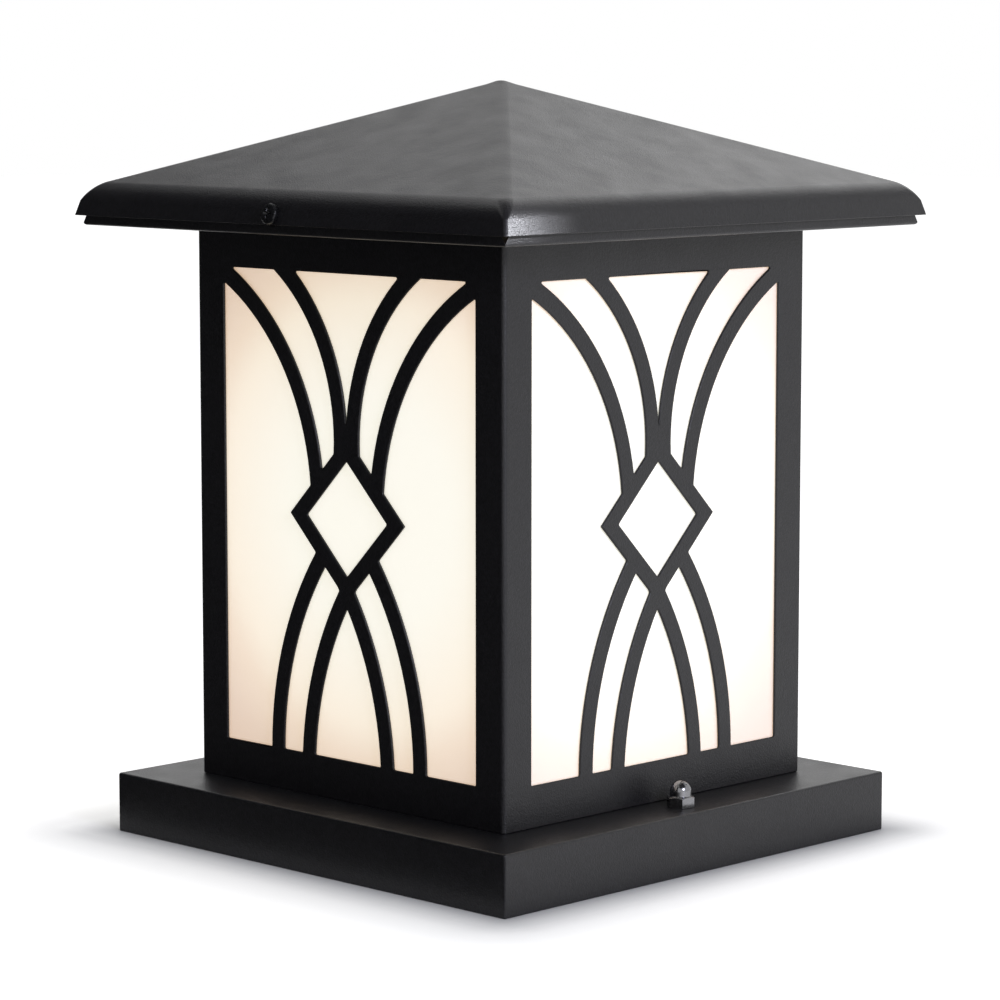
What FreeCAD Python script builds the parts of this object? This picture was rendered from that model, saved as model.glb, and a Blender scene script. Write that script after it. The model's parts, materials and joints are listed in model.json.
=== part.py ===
"""Deck post cap light: a square sheet-metal lantern that is fastened to the top of a post.

Millimetres, +Z up. The origin is the centre of the base's underside, on the post's top.
The front is -Y. A bracket is screwed to the post, two studs stand up from it, and cap nuts
hold the folded base cover down on them. The cut-out shell, its opal panes, the lampholder
and the roof tray are one lantern, and the stamped roof is clamped on the tray by two screws.
"""
import FreeCAD, Part
import math
import os

V = FreeCAD.Vector
UP = V(0, 0, 1)

# ---- sheet metal -----------------------------------------------------------------------------
sheet = 1.2                      # base cover, shell, tray and roof
base_height = 23.9
base_ledge = 24.35               # base cover that shows all round the shell
base_bend_radius = 1.0           # outside radius of the base cover's edges
body_width = 170.0
body_height = 220.8
body_bend_radius = 2.0           # outside radius of the shell's two bent corners
seam_gap = 0.2                   # between the two halves at the mitred corners
flange_width = 17.0              # flanges at the shell's foot and head, inside the walls
flange_notch = 4.0               # relief in the flanges at each corner

# ---- cut-out face pattern, measured on each face ---------------------------------------------
frame_side = 15.0
frame_foot = 16.3
frame_head = 15.9
diamond_half_diagonal = 32.0
diamond_bar = 6.8
arc_bar = 7.2
lower_outer_foot = 40.0          # distance of each arc from the face's centre line
lower_outer_landing = 15.0       # where the arc meets the diamond's lower side
lower_inner_foot = 22.3
lower_inner_drop = 7.2           # depth of the arc's upright point below the window
lower_crossing_rise = 4.0        # crossing of the inner arcs above the diamond's tip
upper_outer_waist = 16.4
upper_outer_rise = 3.3           # height of the waist above the diamond's centre
upper_outer_overrun = 3.7        # the arc's centre line runs this far past the corner
upper_inner_waist = 3.4
upper_inner_dip = 2.2            # depth of the waist below the diamond's top tip
upper_inner_head = 34.7

# ---- panes and corner retainers --------------------------------------------------------------
pane_thickness = 3.0
pane_clearance = 0.2             # between a pane and the shell's wall
pane_corner_gap = 0.4            # between neighbouring panes, and over their heads
retainer_sheet = 1.0
retainer_leg = 12.0
retainer_tab = 14.0

# ---- roof tray -------------------------------------------------------------------------------
tray_overhang = 32.1             # beyond the shell's faces
tray_mouth_inset = 3.8           # opening inside the shell's flanges
tray_bend_radius = 1.2
tray_corner_cut_angle = 24.0     # each rim end is cut back this far from upright
tray_corner_cut_rise = 0.9       # start of that cut above the tray's underside
lug_width = 18.0
lug_margin = 4.5                 # lug above the screw's axis

# ---- roof ------------------------------------------------------------------------------------
roof_overhang = 34.9             # lip beyond the shell's faces
tray_reveal = 3.9                # tray that shows below the roof's lip
roof_slope = 19.85               # degrees from level
skirt_lean = 15.0                # degrees from upright
skirt_height = 11.3              # lip to the sharp corner that the knee rounds
knee_radius = 11.0
lip_corner_radius = 2.5          # plan radius of the corners at the lip
ridge_corner_radius = 4.5        # plan radius of the ridges
apex_radius = 7.0
rim_gap = 0.3                    # between the roof's skirt and the tray's rim

# ---- roof screws, M4 pan head with a cross recess --------------------------------------------
roof_screw_shift = 3.7           # towards -X from the middle of the front side
roof_screw_height = 3.9          # axis above the lip, at the skirt's outer face
roof_screw_length = 12.0
collar_radius = 2.8              # tapped collar drawn inwards from the skirt
collar_length = 2.2
collar_clearance = 0.7           # between the collar and the slot in the tray's rim
lug_gap = 0.1                    # between a screw's tip and its lug

# ---- screws and nuts -------------------------------------------------------------------------
m4_radius = 2.0
m4_head_radius = 4.0
m4_head_height = 2.6
m4_nut_flats = 7.0
m4_nut_height = 3.2
nut_corner_radius = 1.12         # of the circle that rounds a nut's corners, over half its flats
recess_width = 1.15              # cross recess over the head's radius
recess_depth = 0.6               # cross recess over the head's height
recess_taper = 0.55              # recess at its bottom over its mouth
thread_clearance = 0.05
hole_clearance = 0.3
body_screw_length = 10.0
body_screw_inset = 7.6           # corner screws inside the panes' inner faces

# ---- mounting bracket and studs --------------------------------------------------------------
bracket_sheet = 2.0
bracket_width = 36.0
bracket_end_margin = 7.4         # strap beyond each stud
lock_nut_gap = 1.7               # between the lock nuts and the base cover
stud_radius = 3.0
stud_length = 16.0
stud_flats = 10.0
stud_head_height = 4.0
stud_nut_height = 5.0
stud_point = 0.5                 # bevel at a stud's end
fixing_spacing = 70.0
fixing_slot_length = 20.0
fixing_slot_width = 5.4
supply_hole_radius = 10.0

# ---- cap nuts --------------------------------------------------------------------------------
cap_nut_height = 10.2
cap_nut_hex_height = 4.3
cap_nut_dome_radius = 4.2
cap_nut_depth = 7.6
cap_nut_turn = -40.0             # one corner of the hexagon from +X

# ---- lampholder ------------------------------------------------------------------------------
wiring_opening_x = 90.0          # opening in the base cover's top
wiring_opening_y = 64.0
strap_sheet = 1.5
strap_width = 34.0
strap_half_length = 62.0
strap_deck_half = 28.0
strap_rise = 9.0                 # top of the deck above the base cover
strap_screw_place = 53.0
holder_wall = 6.2                # porcelain round the screw shell
holder_height = 47.0
holder_floor = 7.0
holder_shoulder_height = 16.0    # thicker foot of the porcelain
holder_shoulder = 1.5            # its step inwards
holder_edge = 2.0                # bevel at the mouth
screw_shell_sheet = 0.6
screw_shell_height = 34.0
holder_screw_radius = 1.5
holder_screw_head_radius = 2.8
holder_screw_head_height = 1.8
holder_screw_place = 9.0
holder_screw_length = 14.0
m3_nut_flats = 5.5
m3_nut_height = 2.4
contact_width = 6.0
contact_sheet = 0.5
contact_half_length = 5.0
contact_spring_reach = 4.0       # free end of the spring past the middle
screw_shell_lift = 1.5           # screw shell above the contact's foot
tip_over_floor = 4.0             # lamp's tip above the floor of the holder's bore

# ---- lamp ------------------------------------------------------------------------------------
cap_radius = 13.1
cap_height = 25.0
cap_fit = 0.1                    # between the lamp's cap and the holder's screw shell
cap_sheet = 0.4
tip_radius = 4.5
tip_height = 1.2
tip_gap = 0.2
insulator_height = 3.6
insulator_brim = 1.5             # insulator beyond the tip, at its foot
insulator_brim_height = 1.0
insulator_plug = 2.0             # insulator inside the cap
housing_radius = 27.0
housing_height = 34.0
housing_wall = 1.8
housing_grip = 8.0               # housing inside the cap
housing_neck_height = 9.0
housing_knee_radius = 21.0
housing_knee_height = 21.1
neck_step = 0.3                  # housing inside the cap's radius
globe_radius = 30.0
globe_wall = 1.2
board_radius = 22.0
board_thickness = 1.6
emitter_count = 12
emitter_ring_radius = 14.0
emitter_size = 2.8
emitter_height = 0.8
driver_width = 17.0
driver_length = 22.0
driver_thickness = 1.6
driver_part_depth = 6.0
driver_part_radius = 4.0
driver_part_drop = 8.0           # its middle below the round board

# ---- terminal block, leads and earth ---------------------------------------------------------
block_width = 32.0
block_depth = 16.0
block_height = 12.5
block_inner_face = 36.0          # face towards the lampholder, from the middle
pole_spacing = 9.5
pole_height = 6.0                # wire entries above the block's foot
clamp_screw_radius = 1.6
clamp_screw_offset = 4.5         # each clamp screw from the middle of its pole
clamp_screw_depth = 0.6          # clamp screw's head below the block's foot
clamp_slot_width = 0.6
clamp_recess = 2.0
entry_clearance = 0.4            # round a lead where it enters the block
block_edge_radius = 0.8
block_screw_length = 8.0
lead_radius = 1.2
lead_start = 9.0                 # leads from the lampholder's middle, along Y
lead_bend_share = 0.45           # part of each run that its bend takes up
bush_radius = 3.4
bush_collar = 0.8                # thickness of a bush's collar
earth_screw_inset = 7.8          # inside the shell's wall, on its foot flange
ring_radius = 4.4
ring_sheet = 0.8
ring_barrel_radius = 2.0
ring_barrel_length = 4.0

# ---- places that follow from the sizes -------------------------------------------------------
body_half = body_width / 2
base_half = body_half + base_ledge
base_top = base_height
base_under = base_height - sheet
stud_place = body_half + base_ledge / 2
bracket_rise = base_under - lock_nut_gap - stud_nut_height
bracket_end = stud_place + bracket_end_margin
body_inner = body_half - sheet
body_foot = base_top
body_head = body_foot + body_height
window_half = body_half - frame_side
window_foot = body_foot + frame_foot
window_head = body_head - frame_head
pane_outer = body_inner - pane_clearance
pane_inner = pane_outer - pane_thickness
body_screw_place = pane_inner - body_screw_inset
earth_screw_y = body_inner - earth_screw_inset
tray_half = body_half + tray_overhang
tray_foot = body_head
tray_floor = tray_foot + sheet
roof_half = body_half + roof_overhang
roof_lip = tray_foot + tray_reveal
FACES = {"front": 0, "right": 90, "back": 180, "left": 270}


def box(low, high):
    """Block between two opposite corners."""
    size = [b - a for a, b in zip(low, high)]
    return Part.makeBox(size[0], size[1], size[2], V(*low))


def rod(radius, start, direction, length):
    """Cylinder from a start point along a direction."""
    return Part.makeCylinder(radius, length, start, direction)


def spun(outline):
    """Turned piece from (radius, height) points round the Z axis."""
    points = [V(r, 0, z) for r, z in outline]
    face = Part.Face(Part.makePolygon(points + points[:1]))
    return face.revolve(V(0, 0, 0), UP, 360)


def turned(shape, degrees):
    """Copy turned about the Z axis."""
    copy = shape.copy()
    copy.rotate(V(0, 0, 0), UP, degrees)
    return copy


def aimed(shape, start, direction):
    """Copy of a piece made along +Z, laid along a direction from a start point."""
    copy = shape.copy()
    copy.Placement = FreeCAD.Placement(start, FreeCAD.Rotation(UP, direction))
    return copy


def mirrored(shape, normal):
    """Copy mirrored in a plane through the origin."""
    return shape.mirror(V(0, 0, 0), normal)


def fused(shapes):
    """One solid from touching or overlapping pieces."""
    return shapes[0].multiFuse(shapes[1:]).removeSplitter()


def hexagon(flats, height, start, turn=0.0):
    """Hexagonal prism standing on a start point."""
    corner = flats / 2 / math.cos(math.pi / 6)
    angles = [math.radians(turn + 60 * k) for k in range(7)]
    points = [V(corner * math.cos(a), corner * math.sin(a), 0) for a in angles]
    prism = Part.Face(Part.makePolygon(points)).extrude(V(0, 0, height))
    prism.translate(start)
    return prism


def nut(flats, height, radius, centre_x, centre_y, foot):
    """Hexagonal nut with a plain bore and bevelled corners."""
    body = hexagon(flats, height, V(centre_x, centre_y, foot))
    round_off = rod(flats / 2 * nut_corner_radius, V(centre_x, centre_y, foot), UP, height)
    bore = rod(radius + thread_clearance, V(centre_x, centre_y, foot), UP, height)
    return body.common(round_off).cut(bore)


def cross_recess(width, depth):
    """Tapered cross that is cut from the top of a screw head, mouth at z = 0."""
    arms = []
    for along_x in (True, False):
        half = width / 2
        arm = width / 9
        taper = recess_taper
        low = [V(-half * taper, -arm * taper, -depth), V(half * taper, -arm * taper, -depth),
               V(half * taper, arm * taper, -depth), V(-half * taper, arm * taper, -depth)]
        top = [V(-half, -arm, 0.01), V(half, -arm, 0.01), V(half, arm, 0.01), V(-half, arm, 0.01)]
        wires = [Part.makePolygon(points + points[:1]) for points in (low, top)]
        wedge = Part.makeLoft(wires, True, True)
        arms.append(wedge if along_x else turned(wedge, 90))
    return fused(arms)


def pan_screw(radius, length, head_radius, head_height):
    """Pan-head screw along Z: the head stands on z = 0 and the shank goes down."""
    edge = head_height * 0.45
    crown = head_height * 0.8
    crown_radius = head_radius * 0.84
    flat_radius = head_radius * 0.5
    head = spun([(0, 0), (head_radius, 0), (head_radius, edge), (crown_radius, crown),
                 (flat_radius, head_height), (0, head_height)])
    recess = cross_recess(head_radius * recess_width, head_height * recess_depth)
    recess.translate(V(0, 0, head_height))
    into_head = head_height * 0.2
    shank = rod(radius, V(0, 0, -length), UP, length + into_head)
    return fused([head.cut(recess), shank])


def square_ring(half, radius, height):
    """Level square outline with rounded corners."""
    flat = half - radius
    edges = []
    for turn in range(4):
        a = math.radians(90 * turn)
        middle = V(half * math.cos(a), half * math.sin(a), height)
        side = V(-math.sin(a), math.cos(a), 0)
        edges.append(Part.makeLine(middle - side * flat, middle + side * flat))
        corner = V(flat * (math.cos(a) - math.sin(a)), flat * (math.sin(a) + math.cos(a)), height)
        edges.append(Part.makeCircle(radius, corner, UP, 90 * turn, 90 * turn + 90))
    return Part.Wire(edges)


def lead(points):
    """Round lead along straight runs joined by tangent arcs, and its smallest bend radius."""
    edges = []
    radii = []
    start = points[0]
    for before, corner, after in zip(points, points[1:], points[2:]):
        back = before - corner
        ahead = after - corner
        turn = math.pi - back.getAngle(ahead)
        shorter = min(back.Length, ahead.Length)
        reach = lead_bend_share * shorter
        radii.append(reach / math.tan(turn / 2))
        back.normalize()
        ahead.normalize()
        enter = corner + back * reach
        leave = corner + ahead * reach
        middle = (back + ahead).normalize()
        depth = radii[-1] / math.cos(turn / 2) - radii[-1]
        edges.append(Part.makeLine(start, enter))
        edges.append(Part.Arc(enter, corner + middle * depth, leave).toShape())
        start = leave
    edges.append(Part.makeLine(start, points[-1]))
    path = Part.Wire(edges)
    section = Part.Wire(Part.makeCircle(lead_radius, points[0], points[1] - points[0]))
    tube = path.makePipeShell([section], True, False)
    expected = math.pi * lead_radius ** 2 * path.Length
    print("lead: bend radii", [round(r, 1) for r in radii], "volume ratio", round(tube.Volume / expected, 4))
    return tube


# ---- base cover: a folded square tray turned upside down over the bracket --------------------
def make_base_cover():
    outer = box((-base_half, -base_half, 0), (base_half, base_half, base_height))
    folded = [e for e in outer.Edges if e.BoundBox.ZMax > 0.1]
    outer = outer.makeFillet(base_bend_radius, folded)
    inner_half = base_half - sheet
    cover = outer.cut(box((-inner_half, -inner_half, -1), (inner_half, inner_half, base_under)))
    x, y = wiring_opening_x / 2, wiring_opening_y / 2
    cover = cover.cut(box((-x, -y, 0), (x, y, base_height + 1)))
    holes = [(sx * body_screw_place, sy * body_screw_place, m4_radius) for sx in (-1, 1) for sy in (-1, 1)]
    holes += [(s * strap_screw_place, 0, m4_radius) for s in (-1, 1)]
    holes += [(s * stud_place, 0, stud_radius) for s in (-1, 1)]
    holes += [(0, block_inner_face + block_depth / 2, holder_screw_radius), (0, earth_screw_y, m4_radius)]
    for hole_x, hole_y, radius in holes:
        cover = cover.cut(rod(radius + hole_clearance, V(hole_x, hole_y, 0), UP, base_height + 1))
    return cover


# ---- shell: two L-shaped halves with laser-cut faces -----------------------------------------
def upright_arc(waist, waist_height, end, end_height):
    """Centre and radius of an arc that is upright at its waist and passes through its end."""
    across = end - waist
    rise = end_height - waist_height
    radius = (across ** 2 + rise ** 2) / (2 * abs(across))
    centre = waist + math.copysign(radius, across)
    return centre, waist_height, radius


def diamond(half_diagonal, height):
    """Square prism on its corner through the front face."""
    y = -body_half - 1
    points = [V(half_diagonal, y, height), V(0, y, height + half_diagonal),
              V(-half_diagonal, y, height), V(0, y, height - half_diagonal)]
    return Part.Face(Part.makePolygon(points + points[:1])).extrude(V(0, sheet + 2, 0))


def make_face_cutter():
    """Everything that is cut away from the front face's window."""
    centre = (window_foot + window_head) / 2
    tip = diamond_half_diagonal
    landing_height = centre - (tip - lower_outer_landing)
    crossing = centre - tip + lower_crossing_rise
    lower = [upright_arc(lower_outer_foot, window_foot, lower_outer_landing, landing_height),
             upright_arc(lower_inner_foot, window_foot - lower_inner_drop, 0, crossing)]
    corner = window_half + upper_outer_overrun
    upper = [upright_arc(upper_outer_waist, centre + upper_outer_rise, corner, window_head),
             upright_arc(upper_inner_waist, centre + tip - upper_inner_dip, upper_inner_head, window_head)]
    bars = []
    for arcs, low, high in ((lower, window_foot - 1, centre), (upper, centre, window_head + 1)):
        for x, z, radius in arcs:
            y = -body_half - 1
            ring = rod(radius + arc_bar / 2, V(x, y, z), V(0, 1, 0), sheet + 2)
            ring = ring.cut(rod(radius - arc_bar / 2, V(x, y, z), V(0, 1, 0), sheet + 2))
            band = ring.common(box((-arc_bar, y, low), (window_half + 1, y + sheet + 2, high)))
            bars += [band, mirrored(band, V(1, 0, 0))]
    full = diamond(tip, centre)
    through = -body_half + sheet + 1
    window = box((-window_half, -body_half - 1, window_foot), (window_half, through, window_head))
    hole = diamond(tip - diamond_bar * math.sqrt(2), centre)
    cutter = window.cut(full)
    for bar in bars:
        cutter = cutter.cut(bar)
    return cutter.fuse(hole)


def make_shell_halves():
    outer = box((-body_half, -body_half, body_foot), (body_half, body_half, body_head))
    bends = [e for e in outer.Edges
             if e.BoundBox.ZLength > 1 and e.BoundBox.XMax * e.BoundBox.YMax < 0]
    outer = outer.makeFillet(body_bend_radius, bends)
    hollow = box((-body_inner, -body_inner, body_foot + sheet), (body_inner, body_inner, body_head - sheet))
    inner_bends = [e for e in hollow.Edges
                   if e.BoundBox.ZLength > 1 and e.BoundBox.XMax * e.BoundBox.YMax < 0]
    hollow = hollow.makeFillet(body_bend_radius - sheet, inner_bends)
    mouth = body_inner - flange_width
    shell = outer.cut(hollow).cut(box((-mouth, -mouth, body_foot - 1), (mouth, mouth, body_head + 1)))
    notch = body_inner - flange_notch
    for sx in (-1, 1):
        for sy in (-1, 1):
            low = (min(sx * notch, sx * body_inner), min(sy * notch, sy * body_inner))
            high = (max(sx * notch, sx * body_inner), max(sy * notch, sy * body_inner))
            shell = shell.cut(box((*low, body_foot - 1), (*high, body_head + 1)))
            hole = V(sx * body_screw_place, sy * body_screw_place, body_foot - 1)
            shell = shell.cut(rod(m4_radius + hole_clearance, hole, UP, body_height + 2))
    earth_hole = V(0, earth_screw_y, body_foot - 1)
    shell = shell.cut(rod(m4_radius + hole_clearance, earth_hole, UP, sheet + 2))
    cutter = make_face_cutter()
    for turn in FACES.values():
        shell = shell.cut(turned(cutter, turn))
    return half_of(shell, 1), half_of(shell, -1)


def half_of(shell, side):
    """Part of the shell on one side of the diagonal through the two seams."""
    reach = 2 * body_half
    shift = side * seam_gap / math.sqrt(2)
    points = [V(-reach + shift, -reach, 0), V(reach + shift, reach, 0),
              V(side * reach + shift, -side * reach, 0)]
    wedge = Part.Face(Part.makePolygon(points + points[:1])).extrude(V(0, 0, body_head + 1))
    return shell.common(wedge)


# ---- panes and the corner angles that hold them ----------------------------------------------
def make_pane():
    half = pane_inner - pane_corner_gap
    head = body_head - sheet - pane_corner_gap
    return box((-half, -pane_outer, body_foot + sheet), (half, -pane_inner, head))


def make_retainer():
    """Angle in the front right corner, with a tab at each end under a corner screw."""
    low = body_foot + sheet
    high = body_head - sheet
    corner = pane_inner
    inside = corner - retainer_sheet
    leg = corner - retainer_leg
    parts = [box((inside, -corner, low), (corner, -leg, high)),
             box((leg, -corner, low), (corner, -inside, high))]
    tab = corner - retainer_tab
    for z in (low, high - retainer_sheet):
        plate = box((tab, -corner, z), (corner, -tab, z + retainer_sheet))
        hole = rod(m4_radius + hole_clearance, V(body_screw_place, -body_screw_place, z), UP, retainer_sheet)
        parts.append(plate.cut(hole))
    return fused(parts)


def corner_screws(seat, length):
    """Four pan-head screws, one in each corner, heads on the given height."""
    screw = pan_screw(m4_radius, length, m4_head_radius, m4_head_height)
    screw.translate(V(body_screw_place, -body_screw_place, seat))
    return [turned(screw, turn) for turn in FACES.values()]


def corner_nuts(foot):
    one = nut(m4_nut_flats, m4_nut_height, m4_radius, body_screw_place, -body_screw_place, foot)
    return [turned(one, turn) for turn in FACES.values()]


# ---- roof: section of the stamped sheet, and the screw that passes through its skirt ---------
slope = math.radians(roof_slope)
lean = math.radians(skirt_lean)
screw_out = V(0, -math.cos(lean), math.sin(lean))      # outward along the front screw


def skirt_half(height, inset=0.0):
    """Half width of the skirt at a height, set in by a thickness."""
    return roof_half - (height - roof_lip) * math.tan(lean) - inset / math.cos(lean)


def roof_section(inset):
    """(half width, height, corner radius) rings from the lip to the apex, set in by a thickness."""
    knee_z = roof_lip + skirt_height
    knee_x = roof_half - skirt_height * math.tan(lean)
    turn = math.pi / 2 - lean - slope
    tangent = knee_radius * math.tan(turn / 2)
    start_x = knee_x + tangent * math.sin(lean)
    start_z = knee_z - tangent * math.cos(lean)
    centre_x = start_x - knee_radius * math.cos(lean)
    centre_z = start_z - knee_radius * math.sin(lean)
    radius = knee_radius - inset
    rings = [(skirt_half(roof_lip, inset), roof_lip, lip_corner_radius)]
    steps = 8
    for k in range(steps + 1):
        angle = lean + turn * k / steps
        corner = lip_corner_radius + (ridge_corner_radius - lip_corner_radius) * k / steps
        rings.append((centre_x + radius * math.cos(angle), centre_z + radius * math.sin(angle), corner))
    apex_z = knee_z + knee_x * math.tan(slope)
    dome_x = (apex_radius - inset) * math.sin(slope)
    dome_centre = apex_z - apex_radius / math.cos(slope)
    return rings, dome_x, dome_centre, apex_radius - inset


def roof_solid(inset, foot):
    """Solid inside the roof's outer or inner surface, down to a level foot."""
    rings, dome_x, dome_centre, dome_radius = roof_section(inset)
    shrink = inset * math.tan(math.pi / 8)
    wires = [square_ring(half, radius - shrink, z) for half, z, radius in rings]
    foot_ring = square_ring(skirt_half(foot, inset), rings[0][2] - shrink, foot)
    skirt = Part.makeLoft([foot_ring, wires[1]], True, True)
    knee = Part.makeLoft(wires[1:], True, True)
    ridge_reach = ridge_corner_radius * 1.2
    knee_half, knee_top = rings[-1][0], rings[-1][1]
    ridge_top = knee_top + (knee_half - ridge_reach) * math.tan(slope)
    tip_top = dome_centre + dome_radius * math.cos(slope)
    shoulder = square_ring(ridge_reach, ridge_corner_radius - shrink, ridge_top)
    tip = square_ring(dome_x, dome_x * 0.9, tip_top)
    ridges = Part.makeLoft([wires[-1], shoulder], True, True)
    peak = Part.makeLoft([shoulder, tip], True, True)
    top = square_ring(dome_x * 0.4, dome_x * 0.36, dome_centre + dome_radius * 0.995)
    cap = Part.makeLoft([tip, top], True, True)
    return fused([skirt, knee, ridges, peak, cap])


def screw_seat(shift):
    """Point where a screw's head meets the skirt's outer face."""
    height = roof_lip + roof_screw_height
    return V(shift, -skirt_half(height), height)


def make_roof():
    roof = roof_solid(0, roof_lip).cut(roof_solid(sheet, roof_lip - 1))
    seat = screw_seat(-roof_screw_shift)
    collar = rod(collar_radius, seat - screw_out * sheet * 0.5, screw_out * -1, sheet * 0.5 + collar_length)
    bore_length = sheet + collar_length + 3
    bore = rod(m4_radius + thread_clearance, seat + screw_out * 2, screw_out * -1, bore_length)
    for turn in (0, 180):
        roof = roof.fuse(turned(collar, turn))
    for turn in (0, 180):
        roof = roof.cut(turned(bore, turn))
    return roof.removeSplitter()


def make_roof_screw():
    screw = pan_screw(m4_radius, roof_screw_length, m4_head_radius, m4_head_height)
    return aimed(screw, screw_seat(-roof_screw_shift), screw_out)


# ---- roof tray: folded pan with notched corners and two lugs for the roof screws -------------
def make_tray():
    rim_top = roof_lip + (roof_half - sheet / math.cos(lean) - rim_gap - tray_half) / math.tan(lean)
    outer = box((-tray_half, -tray_half, tray_foot), (tray_half, tray_half, rim_top))
    folds = [e for e in outer.Edges if e.BoundBox.ZMax < tray_foot + 0.1]
    outer = outer.makeFillet(tray_bend_radius, folds)
    inner = tray_half - sheet
    tray = outer.cut(box((-inner, -inner, tray_floor), (inner, inner, rim_top + 1)))
    mouth = body_inner - flange_width - tray_mouth_inset
    tray = tray.cut(box((-mouth, -mouth, tray_foot - 1), (mouth, mouth, rim_top)))
    for turn in FACES.values():
        tray = tray.cut(turned(corner_cut(rim_top), turn))
        hole = rod(m4_radius + hole_clearance, V(body_screw_place, -body_screw_place, tray_foot - 1), UP, 4)
        tray = tray.cut(turned(hole, turn))
    for turn in (0, 180):
        tray = tray.cut(turned(rim_slot(rim_top), turn))
    for turn in (0, 180):
        tray = tray.fuse(turned(make_lug(), turn))
    return tray.removeSplitter()


def corner_cut(rim_top):
    """V between the ends of two rim flanges, across the front right corner."""
    foot = tray_foot + tray_corner_cut_rise
    rise = rim_top + 1 - foot
    spread = rise * math.tan(math.radians(tray_corner_cut_angle))
    across = V(1, 1, 0).normalize()
    corner = V(tray_half - 3 * sheet, -tray_half + 3 * sheet, foot)
    points = [corner, corner + across * spread + UP * rise, corner - across * spread + UP * rise]
    outward = V(1, -1, 0).normalize() * (8 * sheet)
    return Part.Face(Part.makePolygon(points + points[:1])).extrude(outward)


def rim_slot(rim_top):
    """Slot open at the top of the rim, for the roof's collar and screw."""
    seat = screw_seat(-roof_screw_shift)
    half = collar_radius + collar_clearance
    inside = seat - screw_out * (sheet + collar_length)
    low = inside.z - collar_radius * math.cos(lean) - collar_clearance
    return box((seat.x - half, -tray_half - 1, low), (seat.x + half, -tray_half + sheet + 1, rim_top + 1))


def make_lug():
    """Tab bent up from the tray, square to the front screw and just behind its tip."""
    seat = screw_seat(-roof_screw_shift)
    tip = seat - screw_out * (roof_screw_length + lug_gap)
    along = V(0, math.sin(lean), math.cos(lean))
    top = tip + along * lug_margin
    drop = (tip.z - tray_foot) / math.cos(lean)
    foot = tip - along * drop
    back = screw_out * -sheet
    points = [foot, top, top + back, foot + back]
    side = V(-lug_width / 2, 0, 0)
    plate = Part.Face(Part.makePolygon([p + side for p in points + points[:1]])).extrude(V(lug_width, 0, 0))
    return plate.cut(box((-tray_half, -tray_half, tray_foot - 5), (tray_half, tray_half, tray_foot)))


# ---- mounting bracket with its studs ---------------------------------------------------------
def make_bracket():
    """Strap that lies on the post's top, with raised ends that carry the studs."""
    half = bracket_width / 2
    step = stud_place - stud_flats
    parts = [box((-step, -half, 0), (step, half, bracket_sheet))]
    for s in (-1, 1):
        riser = sorted((s * step, s * (step - bracket_sheet)))
        end = sorted((s * (step - bracket_sheet), s * bracket_end))
        parts.append(box((riser[0], -half, 0), (riser[1], half, bracket_rise)))
        parts.append(box((end[0], -half, bracket_rise - bracket_sheet), (end[1], half, bracket_rise)))
    bracket = fused(parts)
    bracket = bracket.cut(rod(supply_hole_radius, V(0, 0, -1), UP, bracket_sheet + 2))
    run = (fixing_slot_length - fixing_slot_width) / 2
    width = fixing_slot_width / 2
    for s in (-1, 1):
        x = s * fixing_spacing / 2
        slot = box((x - run, -width, -1), (x + run, width, bracket_sheet + 1))
        for end in (x - run, x + run):
            slot = slot.fuse(rod(width, V(end, 0, -1), UP, bracket_sheet + 2))
        bracket = bracket.cut(slot)
        hole = V(s * stud_place, 0, bracket_rise - bracket_sheet - 1)
        bracket = bracket.cut(rod(stud_radius + hole_clearance, hole, UP, bracket_sheet + 2))
    return bracket


def make_studs():
    seat = bracket_rise - bracket_sheet
    studs = []
    for s in (-1, 1):
        head = hexagon(stud_flats, stud_head_height, V(s * stud_place, 0, seat - stud_head_height))
        shank = rod(stud_radius, V(s * stud_place, 0, seat), UP, stud_length)
        point = [e for e in shank.Edges if e.BoundBox.ZMin > seat + stud_length - 0.1]
        studs.append(fused([head, shank.makeChamfer(stud_point, point)]))
    return studs


def make_cap_nut(side):
    """Domed nut on one stud, seated on the base cover's ledge."""
    foot = V(side * stud_place, 0, base_top)
    hexed = hexagon(stud_flats, cap_nut_hex_height, foot, cap_nut_turn)
    corner = stud_flats / 2 / math.cos(math.pi / 6)
    flat = stud_flats / 2
    bevel = (corner - flat) * 0.5
    crown = spun([(0, 0), (corner - 0.1, 0), (corner - 0.1, cap_nut_hex_height - bevel),
                  (flat * 0.96, cap_nut_hex_height), (0, cap_nut_hex_height)])
    crown.translate(foot)
    dome_centre = cap_nut_height - cap_nut_dome_radius
    neck = rod(cap_nut_dome_radius, foot, UP, dome_centre)
    ball = Part.makeSphere(cap_nut_dome_radius, foot + UP * dome_centre)
    above = rod(cap_nut_dome_radius + 1, foot + UP * dome_centre, UP, cap_nut_dome_radius + 1)
    whole = fused([hexed.common(crown), neck, ball.common(above)])
    return whole.cut(rod(stud_radius + thread_clearance, foot, UP, cap_nut_depth))


# ---- lampholder on its strap -----------------------------------------------------------------
deck_top = base_top + strap_rise
holder_top = deck_top + holder_height
bore_floor = deck_top + holder_floor
screw_shell_inner = cap_radius + cap_fit
screw_shell_outer = screw_shell_inner + screw_shell_sheet
holder_radius = screw_shell_outer + holder_wall


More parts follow.
